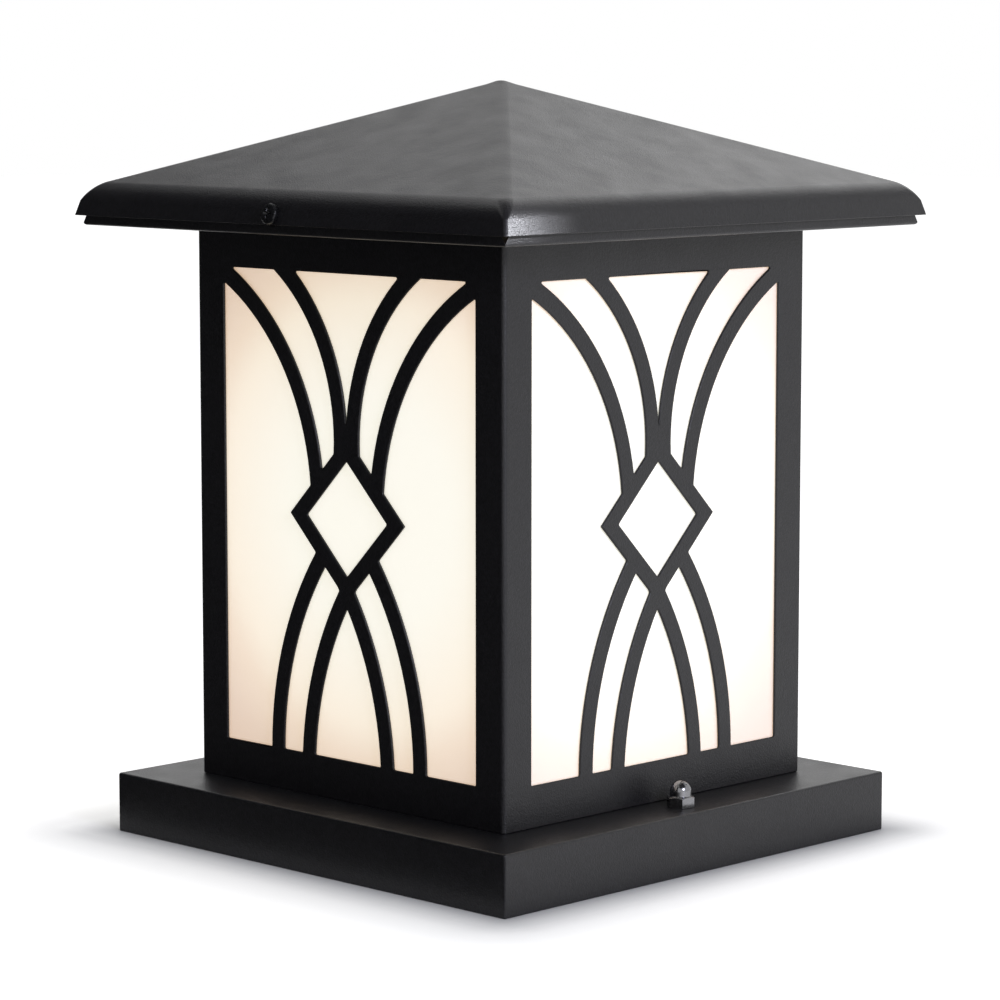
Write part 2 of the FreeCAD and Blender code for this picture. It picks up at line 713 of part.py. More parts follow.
def make_strap():
    half = strap_width / 2
    deck = strap_deck_half
    parts = [box((-deck, -half, deck_top - strap_sheet), (deck, half, deck_top))]
    for s in (-1, 1):
        riser = sorted((s * deck, s * (deck - strap_sheet)))
        foot = sorted((s * (deck - strap_sheet), s * strap_half_length))
        parts.append(box((riser[0], -half, base_top), (riser[1], half, deck_top)))
        parts.append(box((foot[0], -half, base_top), (foot[1], half, base_top + strap_sheet)))
    strap = fused(parts)
    holes = [(s * strap_screw_place, 0, m4_radius + hole_clearance) for s in (-1, 1)]
    holes += [(s * holder_screw_place, 0, holder_screw_radius + hole_clearance) for s in (-1, 1)]
    holes += [(s * pole_spacing, lead_start, bush_radius) for s in (-1, 1)]
    for x, y, radius in holes:
        strap = strap.cut(rod(radius, V(x, y, base_top - 1), UP, strap_rise + 2))
    return strap


def make_holder():
    """Porcelain body: round, with a bore for the screw shell and cable ways in its floor."""
    mouth = screw_shell_outer + holder_edge / 2
    waist = holder_radius - holder_shoulder
    shoulder = deck_top + holder_shoulder_height
    edge = holder_top - holder_edge
    outline = [(0, deck_top), (holder_radius, deck_top), (holder_radius, shoulder),
               (waist, shoulder + holder_edge), (waist, edge), (waist - holder_shoulder, holder_top),
               (mouth, holder_top), (screw_shell_outer, edge), (screw_shell_outer, bore_floor),
               (0, bore_floor)]
    body = spun(outline)
    for s in (-1, 1):
        x = s * holder_screw_place
        hole = V(x, 0, deck_top - 1)
        body = body.cut(rod(holder_screw_radius + hole_clearance, hole, UP, holder_floor + 2))
        seat = bore_floor - holder_screw_head_height
        body = body.cut(rod(holder_screw_head_radius + hole_clearance, V(x, 0, seat), UP, holder_floor))
        way = V(s * pole_spacing, lead_start, deck_top - 1)
        body = body.cut(rod(lead_radius + hole_clearance, way, UP, holder_floor - 1))
    return body


def make_screw_shell():
    foot = bore_floor + contact_sheet + screw_shell_lift
    head = foot + screw_shell_height
    return spun([(screw_shell_inner, foot), (screw_shell_outer, foot), (screw_shell_outer, head),
                 (screw_shell_inner, head)])


lamp_foot = bore_floor + tip_over_floor


def make_contact():
    """Brass tongue: a foot on the holder's floor, a riser and a spring end under the lamp's tip."""
    half = contact_width / 2
    top = lamp_foot - tip_gap
    end = contact_half_length
    foot = box((-end, -half, bore_floor), (end, half, bore_floor + contact_sheet))
    riser = box((-end, -half, bore_floor), (-end + contact_sheet, half, top))
    spring = box((-end, -half, top - contact_sheet), (contact_spring_reach, half, top))
    return fused([foot, riser, spring])


def make_holder_screws():
    screw = pan_screw(holder_screw_radius, holder_screw_length, holder_screw_head_radius,
                      holder_screw_head_height)
    seat = bore_floor - holder_screw_head_height
    screws = []
    for s in (-1, 1):
        copy = screw.copy()
        copy.translate(V(s * holder_screw_place, 0, seat))
        screws.append(copy)
    return screws


# ---- lamp ------------------------------------------------------------------------------------
tip_top = lamp_foot + tip_height
cap_foot = tip_top + insulator_height
cap_top = cap_foot + cap_height
housing_foot = cap_top
housing_top = housing_foot + housing_height
neck_radius = cap_radius - neck_step
globe_centre = housing_top + math.sqrt(globe_radius ** 2 - housing_radius ** 2)


def make_lamp_cap():
    return spun([(cap_radius - cap_sheet, cap_foot), (cap_radius, cap_foot), (cap_radius, cap_top),
                 (cap_radius - cap_sheet, cap_top)])


def make_insulator():
    inner = cap_radius - cap_sheet
    brim = tip_radius + insulator_brim
    plug_top = cap_foot + insulator_plug
    return spun([(0, tip_top), (tip_radius, tip_top), (brim, tip_top + insulator_brim_height),
                 (inner, cap_foot), (inner, plug_top), (0, plug_top)])


def make_housing():
    """Tapered shell that is pressed into the cap and carries the board on its rim."""
    inner = cap_radius - cap_sheet
    grip = housing_foot - housing_grip
    wall = housing_wall
    neck_top = housing_foot + housing_neck_height
    knee = housing_foot + housing_knee_height
    return spun([(inner - wall, grip), (inner, grip), (inner, housing_foot), (neck_radius, housing_foot),
                 (neck_radius, neck_top), (housing_knee_radius, knee), (housing_radius, housing_top),
                 (board_radius, housing_top), (board_radius, housing_top - wall),
                 (housing_knee_radius - wall, knee), (neck_radius - wall, neck_top),
                 (inner - wall, housing_foot)])


def make_board():
    return rod(board_radius, V(0, 0, housing_top - housing_wall), UP, board_thickness)


def make_emitters():
    top = housing_top - housing_wall + board_thickness
    half = emitter_size / 2
    near, far = emitter_ring_radius - half, emitter_ring_radius + half
    one = box((near, -half, top), (far, half, top + emitter_height))
    return [turned(one, 360 * k / emitter_count) for k in range(emitter_count)]


def make_driver():
    """Small upright circuit board with one wound part, on the underside of the round board."""
    top = housing_top - housing_wall
    half = driver_width / 2
    thick = driver_thickness / 2
    board = box((-half, -thick, top - driver_length), (half, thick, top))
    part = rod(driver_part_radius, V(0, thick, top - driver_part_drop), V(0, 1, 0), driver_part_depth)
    return fused([board, part])


def make_globe():
    """Opal dome: most of a thin ball, standing on the housing's rim."""
    centre = V(0, 0, globe_centre)
    ball = Part.makeSphere(globe_radius, centre).cut(Part.makeSphere(globe_radius - globe_wall, centre))
    return ball.common(rod(globe_radius + 1, V(0, 0, housing_top), UP, 2 * globe_radius))


# ---- wiring ----------------------------------------------------------------------------------
block_head = base_under
block_foot = block_head - block_height
pole_z = block_foot + pole_height


def make_block():
    """Three-pole terminal block under the base cover, with wire entries and clamp screw wells."""
    back = block_inner_face + block_depth
    block = box((-block_width / 2, block_inner_face, block_foot), (block_width / 2, back, block_head))
    foot_edges = [e for e in block.Edges if e.BoundBox.ZMax < block_foot + 0.1]
    block = block.makeFillet(block_edge_radius, foot_edges)
    middle = block_inner_face + block_depth / 2
    for k in (-1, 0, 1):
        x = k * pole_spacing
        for y in (block_inner_face - 1, back + 1 - clamp_recess * 2):
            entry = rod(lead_radius + entry_clearance, V(x, y, pole_z), V(0, 1, 0), clamp_recess * 2)
            block = block.cut(entry)
        for y in (middle - clamp_screw_offset, middle + clamp_screw_offset):
            well = rod(clamp_screw_radius + hole_clearance, V(x, y, block_foot - 1), UP, clamp_recess + 1)
            block = block.cut(well)
    bore_foot = V(0, middle, block_head - block_screw_length)
    return block.cut(rod(holder_screw_radius + thread_clearance, bore_foot, UP, block_screw_length + 1))


def make_clamp_screws():
    """Two slotted clamp screws for each pole, heads down at the bottom of their wells."""
    middle = block_inner_face + block_depth / 2
    screws = []
    for k in (-1, 0, 1):
        for y in (middle - clamp_screw_offset, middle + clamp_screw_offset):
            x = k * pole_spacing
            foot = block_foot + clamp_screw_depth
            head = rod(clamp_screw_radius, V(x, y, foot), UP, clamp_recess - clamp_screw_depth)
            half = clamp_slot_width / 2
            reach = 2 * clamp_screw_radius
            slot = box((x - reach, y - half, foot - 1), (x + reach, y + half, foot + clamp_slot_width))
            screws.append(head.cut(slot))
    return screws


def make_block_screw():
    screw = pan_screw(holder_screw_radius, block_screw_length, holder_screw_head_radius,
                      holder_screw_head_height)
    screw.translate(V(0, block_inner_face + block_depth / 2, base_top))
    return screw


def make_lead(side):
    """Lead from the lampholder down through its bush and round into the terminal block."""
    x = side * pole_spacing
    entry = block_inner_face - 1 + clamp_recess * 2
    return lead([V(x, lead_start, deck_top + 1), V(x, lead_start, pole_z), V(x, entry, pole_z)])


def make_bushes():
    """Flanged bushes that line the strap's two lead holes, from below."""
    low = deck_top - strap_sheet
    collar = bush_radius + 1.5 * bush_collar
    bushes = []
    for s in (-1, 1):
        bush = spun([(lead_radius + thread_clearance, low - bush_collar), (collar, low - bush_collar),
                     (collar, low), (bush_radius, low), (bush_radius, deck_top),
                     (lead_radius + thread_clearance, deck_top)])
        bush.translate(V(s * pole_spacing, lead_start, 0))
        bushes.append(bush)
    return bushes


def make_ring_terminal():
    """Flat ring under the earth screw, with a crimped barrel that points at the block."""
    top = base_under
    ring = rod(ring_radius, V(0, earth_screw_y, top - ring_sheet), UP, ring_sheet)
    barrel_start = earth_screw_y - ring_radius - ring_barrel_length
    tongue = box((-ring_barrel_radius, barrel_start + ring_barrel_length - 1, top - ring_sheet),
                 (ring_barrel_radius, earth_screw_y - ring_radius + 1.5, top))
    axis = top - ring_barrel_radius
    barrel = rod(ring_barrel_radius, V(0, barrel_start, axis), V(0, 1, 0), ring_barrel_length)
    bore = rod(lead_radius + thread_clearance, V(0, barrel_start - 1, axis), V(0, 1, 0), ring_barrel_length)
    whole = fused([ring, tongue, barrel]).cut(bore)
    return whole.cut(rod(m4_radius + hole_clearance, V(0, earth_screw_y, top - 2), UP, 3))


def make_earth_lead():
    """Earth lead from the block's middle pole to the ring terminal, in a shallow S."""
    start = block_inner_face + block_depth + 1 - clamp_recess * 2
    finish = earth_screw_y - ring_radius - 1
    high = base_under - ring_barrel_radius
    reach = (finish - start) / 3
    return lead([V(0, start, pole_z), V(0, start + reach, pole_z), V(0, finish - reach, high),
                 V(0, finish, high)])


def placed_screw(x, y, seat, length):
    screw = pan_screw(m4_radius, length, m4_head_radius, m4_head_height)
    screw.translate(V(x, y, seat))
    return screw


def build():
    """Every node of the lantern, by name."""
    nodes = {}
    nodes["mounting_bracket"] = [make_bracket()]
    nodes["mounting_studs"] = make_studs()
    nodes["stud_lock_nuts"] = [nut(stud_flats, stud_nut_height, stud_radius, s * stud_place, 0, bracket_rise)
                               for s in (-1, 1)]
    nodes["cap_nut_right"] = [make_cap_nut(1)]
    nodes["cap_nut_left"] = [make_cap_nut(-1)]
    nodes["base_cover"] = [make_base_cover()]
    front_half, back_half = make_shell_halves()
    nodes["shell_front_half"] = [front_half]
    nodes["shell_back_half"] = [back_half]
    pane = make_pane()
    for name, turn in FACES.items():
        nodes["pane_" + name] = [turned(pane, turn)]
    retainer = make_retainer()
    corners = ("front_right", "back_right", "back_left", "front_left")
    for name, turn in zip(corners, FACES.values()):
        nodes["corner_retainer_" + name] = [turned(retainer, turn)]
    nodes["shell_foot_screws"] = corner_screws(body_foot + sheet + retainer_sheet, body_screw_length)
    nodes["shell_foot_nuts"] = corner_nuts(base_under - m4_nut_height)
    nodes["roof_tray"] = [make_tray()]
    nodes["tray_screws"] = corner_screws(tray_floor, body_screw_length)
    nodes["tray_nuts"] = corner_nuts(body_head - sheet - retainer_sheet - m4_nut_height)
    nodes["roof_cap"] = [make_roof()]
    roof_screw = make_roof_screw()
    nodes["roof_screw_front"] = [roof_screw]
    nodes["roof_screw_back"] = [turned(roof_screw, 180)]
    nodes["lampholder_strap"] = [make_strap()]
    strap_top = base_top + strap_sheet
    nodes["strap_screws"] = [placed_screw(s * strap_screw_place, 0, strap_top, body_screw_length)
                             for s in (-1, 1)]
    nodes["strap_nuts"] = [nut(m4_nut_flats, m4_nut_height, m4_radius, s * strap_screw_place, 0,
                               base_under - m4_nut_height) for s in (-1, 1)]
    nodes["lampholder_body"] = [make_holder()]
    nodes["lampholder_screw_shell"] = [make_screw_shell()]
    nodes["lampholder_contact"] = [make_contact()]
    nodes["lampholder_screws"] = make_holder_screws()
    nut_foot = deck_top - strap_sheet - m3_nut_height
    nodes["lampholder_nuts"] = [nut(m3_nut_flats, m3_nut_height, holder_screw_radius,
                                    s * holder_screw_place, 0, nut_foot) for s in (-1, 1)]
    nodes["lamp_tip"] = [rod(tip_radius, V(0, 0, lamp_foot), UP, tip_height)]
    nodes["lamp_insulator"] = [make_insulator()]
    nodes["lamp_screw_cap"] = [make_lamp_cap()]
    nodes["lamp_housing"] = [make_housing()]
    nodes["lamp_board"] = [make_board()]
    nodes["lamp_emitters"] = make_emitters()
    nodes["lamp_driver"] = [make_driver()]
    nodes["lamp_globe"] = [make_globe()]
    nodes["terminal_block"] = [make_block()]
    nodes["terminal_clamp_screws"] = make_clamp_screws()
    nodes["terminal_block_screw"] = [make_block_screw()]
    nodes["lead_live"] = [make_lead(1)]
    nodes["lead_neutral"] = [make_lead(-1)]
    nodes["lead_bushes"] = make_bushes()
    nodes["lead_earth"] = [make_earth_lead()]
    nodes["earth_ring_terminal"] = [make_ring_terminal()]
    nodes["earth_screw"] = [placed_screw(0, earth_screw_y, base_top + sheet, body_screw_length)]
    nodes["earth_nut"] = [nut(m4_nut_flats, m4_nut_height, m4_radius, 0, earth_screw_y,
                              base_under - ring_sheet - m4_nut_height)]
    return nodes


os.makedirs("parts", exist_ok=True)
for name, solids in build().items():
    shape = solids[0] if len(solids) == 1 else Part.makeCompound(solids)
    if not shape.isValid():
        print("not valid:", name)
    shape.exportStep("parts/" + name + ".step")
    print(name, len(shape.Solids), round(shape.Volume, 1))
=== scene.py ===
"""Deck post cap light: the looks of a square sheet-metal lantern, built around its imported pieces.

Metres, +Z up. The post's top is z = 0, the front is -Y, and the right side is +X.
The sections follow the light as it is put together on its post, from the bracket to the roof.
"""
import json
import math

import bmesh
import bpy
from mathutils import Euler, Matrix, Vector


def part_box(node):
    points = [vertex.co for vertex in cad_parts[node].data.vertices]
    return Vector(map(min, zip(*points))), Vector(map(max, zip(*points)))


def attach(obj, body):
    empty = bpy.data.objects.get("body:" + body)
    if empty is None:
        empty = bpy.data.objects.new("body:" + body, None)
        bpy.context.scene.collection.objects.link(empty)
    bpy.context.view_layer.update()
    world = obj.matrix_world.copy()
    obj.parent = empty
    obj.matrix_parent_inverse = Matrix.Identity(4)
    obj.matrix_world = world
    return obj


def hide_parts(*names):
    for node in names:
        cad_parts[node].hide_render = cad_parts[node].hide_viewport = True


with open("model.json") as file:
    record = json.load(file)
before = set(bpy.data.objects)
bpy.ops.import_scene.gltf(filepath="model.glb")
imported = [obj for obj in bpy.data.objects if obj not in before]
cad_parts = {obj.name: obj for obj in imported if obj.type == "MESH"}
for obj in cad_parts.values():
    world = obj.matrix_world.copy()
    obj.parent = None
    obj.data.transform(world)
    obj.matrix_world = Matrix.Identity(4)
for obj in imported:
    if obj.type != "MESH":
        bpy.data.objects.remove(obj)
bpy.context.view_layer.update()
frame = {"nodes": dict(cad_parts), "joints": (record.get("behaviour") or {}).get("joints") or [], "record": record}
MM = 0.001
scene = bpy.context.scene


# ==== Camera ==================================================================================
# A long lens a little above the light's middle, aimed at the corner between the front and the
# right side, so that both faces and the underside of the roof's rim show. The stand is where it
# stands from the point that it aims at, along its own axes.
camera_azimuth = math.radians(44.516)
camera_elevation = math.radians(7.049)
camera_lens = 132.89
camera_sensor = 36.0
camera_aim = Vector((0, 0, 0.1445))
camera_stand = Vector((-0.0004, -0.00983, 1.4772))


def in_scene(name, data):
    """Object of the given data, in the scene."""
    thing = bpy.data.objects.new(name, data)
    scene.collection.objects.link(thing)
    return thing


camera_turn = Euler((math.pi / 2 - camera_elevation, 0, camera_azimuth)).to_matrix()
camera_data = bpy.data.cameras.new("camera")
camera_data.lens = camera_lens
camera_data.sensor_width = camera_sensor
camera = in_scene("camera", camera_data)
camera.matrix_world = Matrix.Translation(camera_aim + camera_turn @ camera_stand) @ camera_turn.to_4x4()
scene.camera = camera


# ==== Mounting bracket =========================================================================
# A strap of zinc plated steel, pressed into a shallow bridge and screwed to the post's top.
# Two hexagon bolts stand up through its raised ends as studs, held by lock nuts.
def joined(tree, kind, *values, **named):
    """Adds a node and feeds its inputs with sockets or values, in order or by name.

    Names in small letters are the node's own settings.
    """
    node = tree.nodes.new(kind)
    for label in filter(str.islower, named):
        setattr(node, label, named[label])
    feeds = list(zip(node.inputs, values))
    feeds += [(node.inputs[label], value) for label, value in named.items() if not label.islower()]
    for socket, value in feeds:
        if isinstance(value, bpy.types.NodeSocket):
            tree.links.new(value, socket)
        elif value is not None:
            socket.default_value = value
    return node


def shader_of(material):
    """The node that holds a material's finish."""
    return material.node_tree.nodes["Principled BSDF"]


def finish(name, colour, roughness, metallic=0.0, specular=0.5, coat=0.0, coat_roughness=0.1):
    """Material whose even values stand on the shader's own sockets."""
    material = bpy.data.materials.new(name)
    material.use_nodes = True
    inputs = shader_of(material).inputs
    inputs["Base Color"].default_value = (*colour, 1)
    inputs["Roughness"].default_value = roughness
    inputs["Metallic"].default_value = metallic
    inputs["Specular IOR Level"].default_value = specular
    inputs["Coat Weight"].default_value = coat
    inputs["Coat Roughness"].default_value = coat_roughness
    return material


def drive(material, socket, value):
    """Joins an output to one of the shader's sockets."""
    material.node_tree.links.new(value, shader_of(material).inputs[socket])


def cloudy(material, size, detail=2.0, stretch=(1, 1, 1)):
    """Noise on the piece's own coordinates, with patches of about the given size."""
    tree = material.node_tree
    place = joined(tree, "ShaderNodeTexCoord").outputs["Object"]
    stretched = joined(tree, "ShaderNodeMapping", place, Scale=stretch).outputs[0]
    return joined(tree, "ShaderNodeTexNoise", stretched, Scale=1 / size, Detail=detail).outputs["Fac"]


noise_range = (0.3, 0.7)


def vary(material, socket, pattern, low, high):
    """Lets one of the shader's values run between two limits with a pattern."""
    remap = joined(material.node_tree, "ShaderNodeMapRange", pattern, *noise_range, low, high)
    drive(material, socket, remap.outputs["Result"])


def ramped(tree, value, stops):
    """Colour that runs through (place, colour) stops as a value goes from 0 to 1."""
    ramp = joined(tree, "ShaderNodeValToRGB", value)
    points = ramp.color_ramp.elements
    for k, (place, colour) in enumerate(stops):
        point = points[k] if k < len(points) else points.new(place)
        point.position = place
        point.color = (*colour, 1)
    return ramp.outputs["Color"]


blotch_range = (0.35, 0.65)


def blotch(material, pattern, colour_a, colour_b):
    """Lets the base colour run between two colours with a pattern."""
    stops = zip(blotch_range, (colour_a, colour_b))
    drive(material, "Base Color", ramped(material.node_tree, pattern, stops))


def relief(material, pattern, depth):
    """Raises the surface by a pattern, over any relief that it already has."""
    bump = joined(material.node_tree, "ShaderNodeBump", Distance=depth, Height=pattern)
    normal = shader_of(material).inputs["Normal"]
    if normal.is_linked:
        material.node_tree.links.new(normal.links[0].from_socket, bump.inputs["Normal"])
    drive(material, "Normal", bump.outputs["Normal"])


def zinc_finish():
    """Clear-passivated zinc: pale bluish grey, with faint crystalline blotches and fine scratches."""
    zinc = finish("zinc_plate", (0.60, 0.62, 0.65), 0.36, metallic=1.0)
    blotch(zinc, cloudy(zinc, 6 * MM, 3), (0.54, 0.56, 0.60), (0.68, 0.69, 0.70))
    vary(zinc, "Roughness", cloudy(zinc, 2 * MM, 3), 0.28, 0.46)
    relief(zinc, cloudy(zinc, 0.5 * MM, 2, (1, 0.15, 1)), 0.01 * MM)
    return zinc


zinc = zinc_finish()
edge_bevel = 0.15 * MM
sharp_angle = math.radians(30)
flat_angle = math.radians(0.4)
weld = 0.001 * MM


def settle(piece):
    """Makes what a piece's modifiers do its own mesh, and takes them off."""
    seen = piece.evaluated_get(bpy.context.evaluated_depsgraph_get())
    shaped = bpy.data.meshes.new_from_object(seen)
    piece.modifiers.clear()
    piece.data = shaped


def plain_mesh(piece, material):
    """Turns a piece with modifiers into a plain mesh of one material."""
    settle(piece)
    piece.data.materials.clear()
    piece.data.materials.append(material)
    return piece


def body_of(node):
    """Name of the moving body that a node belongs to."""
    bodies = frame["record"]["behaviour"]["bodies"]
    return next(body for body, members in bodies.items() if node in members)


def stand_in(piece, *nodes):
    """The piece rides with its nodes' body and is shown in their place, while they are hidden."""
    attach(piece, body_of(nodes[0]))
    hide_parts(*nodes)


def rounded(piece, material, bevel):
    """Rounds a piece's sharp edges and shades the rest smooth, as a plain mesh."""
    rounding = piece.modifiers.new("edges", "BEVEL")
    rounding.width = bevel
    rounding.segments = 2
    rounding.limit_method = "ANGLE"
    rounding.angle_limit = sharp_angle
    rounding.use_clamp_overlap = False
    rounding.harden_normals = True
    piece.modifiers.new("shading", "WEIGHTED_NORMAL").keep_sharp = True
    plain_mesh(piece, material)


def softened(name, node, material, bevel=edge_bevel, reshape=None):
    """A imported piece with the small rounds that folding, cutting and coating leave on its edges.

    Its loose triangles are made whole faces first, which a reshape may then change.
    """
    mesh = frame["nodes"][node].data.copy()
    work = bmesh.new()
    work.from_mesh(mesh)
    bmesh.ops.remove_doubles(work, verts=work.verts, dist=weld)
    bmesh.ops.dissolve_limit(work, angle_limit=flat_angle, verts=work.verts, edges=work.edges)
    if reshape:
        reshape(work)
        bmesh.ops.dissolve_limit(work, angle_limit=flat_angle, verts=work.verts, edges=work.edges)
    for face in work.faces:
        face.smooth = True
    work.to_mesh(mesh)
    work.free()
    if mesh.attributes.get("custom_normal"):
        mesh.attributes.remove(mesh.attributes["custom_normal"])
    piece = in_scene(name, mesh)
    rounded(piece, material, bevel)
    stand_in(piece, node)


softened("pressed_bracket", "mounting_bracket", zinc)
softened("bracket_lock_nuts", "stud_lock_nuts", zinc)


def node_tree(name, **inputs):
    """Geometry Nodes tree that takes a mesh of places, named sizes and a finish."""
    tree = bpy.data.node_groups.new(name, "GeometryNodeTree")
    tree.interface.new_socket("Places", in_out="INPUT", socket_type="NodeSocketGeometry")
    for label, kind in {**inputs, "Finish": "Material"}.items():
        tree.interface.new_socket(label, in_out="INPUT", socket_type="NodeSocket" + kind)
    tree.interface.new_socket("Piece", in_out="OUTPUT", socket_type="NodeSocketGeometry")
    return tree, joined(tree, "NodeGroupInput").outputs


def painted(tree, size, geometry):
    """Ends a tree with real faces in the finish that it was given."""
    real = joined(tree, "GeometryNodeRealizeInstances", geometry).outputs[0]
    paint = joined(tree, "GeometryNodeSetMaterial", Geometry=real, Material=size["Finish"])
    joined(tree, "NodeGroupOutput", paint.outputs[0])


def copied(tree, places, piece, turn):
    """A copy of a piece on each of the places."""
    return joined(tree, "GeometryNodeInstanceOnPoints", Points=places, Instance=piece,
                  Rotation=turn).outputs[0]


def reckon(tree, operation, *values):
    """One step of arithmetic in a tree."""
    return joined(tree, "ShaderNodeMath", *values, operation=operation).outputs[0]


def limited(tree, value):
    """The value, kept between 0 and 1."""
    return reckon(tree, "MINIMUM", reckon(tree, "MAXIMUM", value, 0), 1)


def polar(tree, radius, angle):
    """X and Y of a point at a radius and an angle."""
    return [reckon(tree, "MULTIPLY", radius, reckon(tree, part, angle)) for part in ("COSINE", "SINE")]


def numbered_grid(tree, columns, rows):
    """Grid, and the column and row of each of its points."""
    grid = joined(tree, "GeometryNodeMeshGrid", 1, 1, columns, rows).outputs[0]
    index = joined(tree, "GeometryNodeInputIndex").outputs[0]
    column = reckon(tree, "FLOOR", reckon(tree, "DIVIDE", index, rows))
    row = reckon(tree, "SUBTRACT", index, reckon(tree, "MULTIPLY", column, rows))
    return grid, column, row


def wrapped(tree, grid, spot):
    """Grid with its points moved to their spots, and merged where they meet."""
    moved = joined(tree, "GeometryNodeSetPosition", Geometry=grid, Position=spot).outputs[0]
    return joined(tree, "GeometryNodeMergeByDistance", moved, Distance=weld).outputs[0]


flank_gain = 1.4
spare_rows = 3  # the two poles, and the row at the tip


def thread_radius(tree, size, height, around):
    """Radius at a height and a share of a turn: rolled at sharpness 0, with straight flanks at 1."""
    turns = reckon(tree, "DIVIDE", height, size["Pitch"])
    phase = reckon(tree, "FRACT", reckon(tree, "SUBTRACT", turns, around))
    wave = reckon(tree, "ABSOLUTE", reckon(tree, "MULTIPLY_ADD", phase, 2, -1))
    steep = limited(tree, reckon(tree, "MULTIPLY_ADD", wave, flank_gain, (1 - flank_gain) / 2))
    smooth = joined(tree, "ShaderNodeMapRange", wave, interpolation_type="SMOOTHSTEP").outputs[0]
    cut = joined(tree, "ShaderNodeMix", size["Sharpness"], None, smooth, steep).outputs[0]
    return reckon(tree, "SUBTRACT", size["Radius"], reckon(tree, "MULTIPLY", cut, size["Depth"]))


def thread_tree():
    """Screws on given places: a head, and a shank whose radius follows the thread's helix.

    The shank hangs down from z = 0. Its rows run up from the tip, and the first and the last are
    its poles. A sleeve, which isn't solid, has neither poles nor a pointed tip.
    """
    tree, size = node_tree("threaded_shank", Head="Object", Radius="Float", Depth="Float",
                           Pitch="Float", Length="Float", Sharpness="Float", Around="Int", Rows="Int",
                           Solid="Float", Turn="Vector")
    columns = reckon(tree, "ADD", size["Around"], 1)
    grid, column, row = numbered_grid(tree, columns, size["Rows"])
    last = reckon(tree, "SUBTRACT", size["Rows"], spare_rows)
    share = limited(tree, reckon(tree, "DIVIDE", reckon(tree, "SUBTRACT", row, 1), last))
    height = reckon(tree, "MULTIPLY", share, size["Length"])
    around = reckon(tree, "DIVIDE", column, size["Around"])
    hollow = reckon(tree, "SUBTRACT", 1, size["Solid"])
    point = reckon(tree, "ADD", height, reckon(tree, "SUBTRACT", size["Radius"], size["Depth"]))
    point = reckon(tree, "ADD", point, hollow)
    radius = reckon(tree, "MINIMUM", thread_radius(tree, size, height, around), point)
    above = reckon(tree, "GREATER_THAN", row, 0.5)
    below = reckon(tree, "LESS_THAN", row, reckon(tree, "SUBTRACT", size["Rows"], 1.5))
    off_poles = reckon(tree, "MULTIPLY", above, below)
    radius = reckon(tree, "MULTIPLY", radius, reckon(tree, "MAXIMUM", off_poles, hollow))
    x, y = polar(tree, radius, reckon(tree, "MULTIPLY", around, 2 * math.pi))
    z = reckon(tree, "SUBTRACT", height, size["Length"])
    shank = wrapped(tree, grid, joined(tree, "ShaderNodeCombineXYZ", x, y, z).outputs[0])
    head = joined(tree, "GeometryNodeObjectInfo", size["Head"]).outputs["Geometry"]
    screw = joined(tree, "GeometryNodeJoinGeometry")
    tree.links.new(head, screw.inputs[0])
    tree.links.new(shank, screw.inputs[0])
    smooth = joined(tree, "GeometryNodeSetShadeSmooth", screw.outputs[0]).outputs[0]
    painted(tree, size, copied(tree, size["Places"], smooth, size["Turn"]))
    return tree


threads = thread_tree()
rows_per_pitch = 8
thread_depth_share = 0.6


def grown(name, tree, places, material, **sizes):
    """Plain mesh that a tree makes on the given places."""
    mesh = bpy.data.meshes.new(name)
    mesh.from_pydata(places, [], [])
    piece = in_scene(name, mesh)
    maker = piece.modifiers.new("maker", "NODES")
    maker.node_group = tree
    sockets = {item.name: item.identifier for item in tree.interface.items_tree if item.in_out == "INPUT"}
    for label, value in sizes.items():
        maker[sockets[label]] = value
    maker[sockets["Finish"]] = material
    return plain_mesh(piece, material)


def screws(name, node, head, places, radius, pitch, length, material, turn=(0, 0, 0), around=24):
    """Threaded screws with their heads' undersides on the given places."""
    rows = int(length / pitch * rows_per_pitch) + spare_rows
    piece = grown(name, threads, places, material, Head=head, Radius=radius,
                  Depth=thread_depth_share * pitch, Pitch=pitch, Length=length, Sharpness=1.0,
                  Around=around, Rows=rows, Solid=1.0, Turn=turn)
    stand_in(piece, node)


m6_radius = 3.0 * MM
m6_pitch = 1.0 * MM
m6_flats = 10.0 * MM
m6_corner = m6_flats / 2 / math.cos(math.pi / 6)
m6_head_height = 4.0 * MM
chamfer_start = 0.82
chamfer_reach = 0.96


def pattern_object(name, work):
    """Hidden object that other pieces copy, from a bmesh."""
    mesh = bpy.data.meshes.new(name)
    bmesh.ops.recalc_face_normals(work, faces=work.faces)
    work.to_mesh(mesh)
    work.free()
    return bpy.data.objects.new(name, mesh)


def lofted(name, outlines):
    """Hidden solid through a stack of outlines, closed at both ends."""
    work = bmesh.new()
    rings = [[work.verts.new(spot) for spot in outline] for outline in outlines]
    for low, high in zip(rings, rings[1:]):
        for k in range(len(low)):
            after = (k + 1) % len(low)
            work.faces.new((low[k], low[after], high[after], high[k]))
    work.faces.new(rings[0])
    work.faces.new(rings[-1])
    return pattern_object(name, work)


def hexagon(radius, z):
    """Level outline with six corners."""
    return [(radius * math.cos(k * math.pi / 3), radius * math.sin(k * math.pi / 3), z) for k in range(6)]


def studs():
    """Two M6 hexagon bolts, heads down, points up. Their heads' free corners are turned off."""
    low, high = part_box("mounting_studs")
    seat = low.z + m6_head_height
    reach = high.x - m6_corner
    head = lofted("hexagon_head", [hexagon(m6_corner, 0), hexagon(m6_corner, m6_head_height * chamfer_start),
                                   hexagon(m6_flats / 2 * chamfer_reach, m6_head_height)])
    places = [(reach, 0, seat), (-reach, 0, seat)]
    screws("bracket_studs", "mounting_studs", head, places, m6_radius, m6_pitch, high.z - seat, zinc,
           turn=(math.pi, 0, 0))


studs()


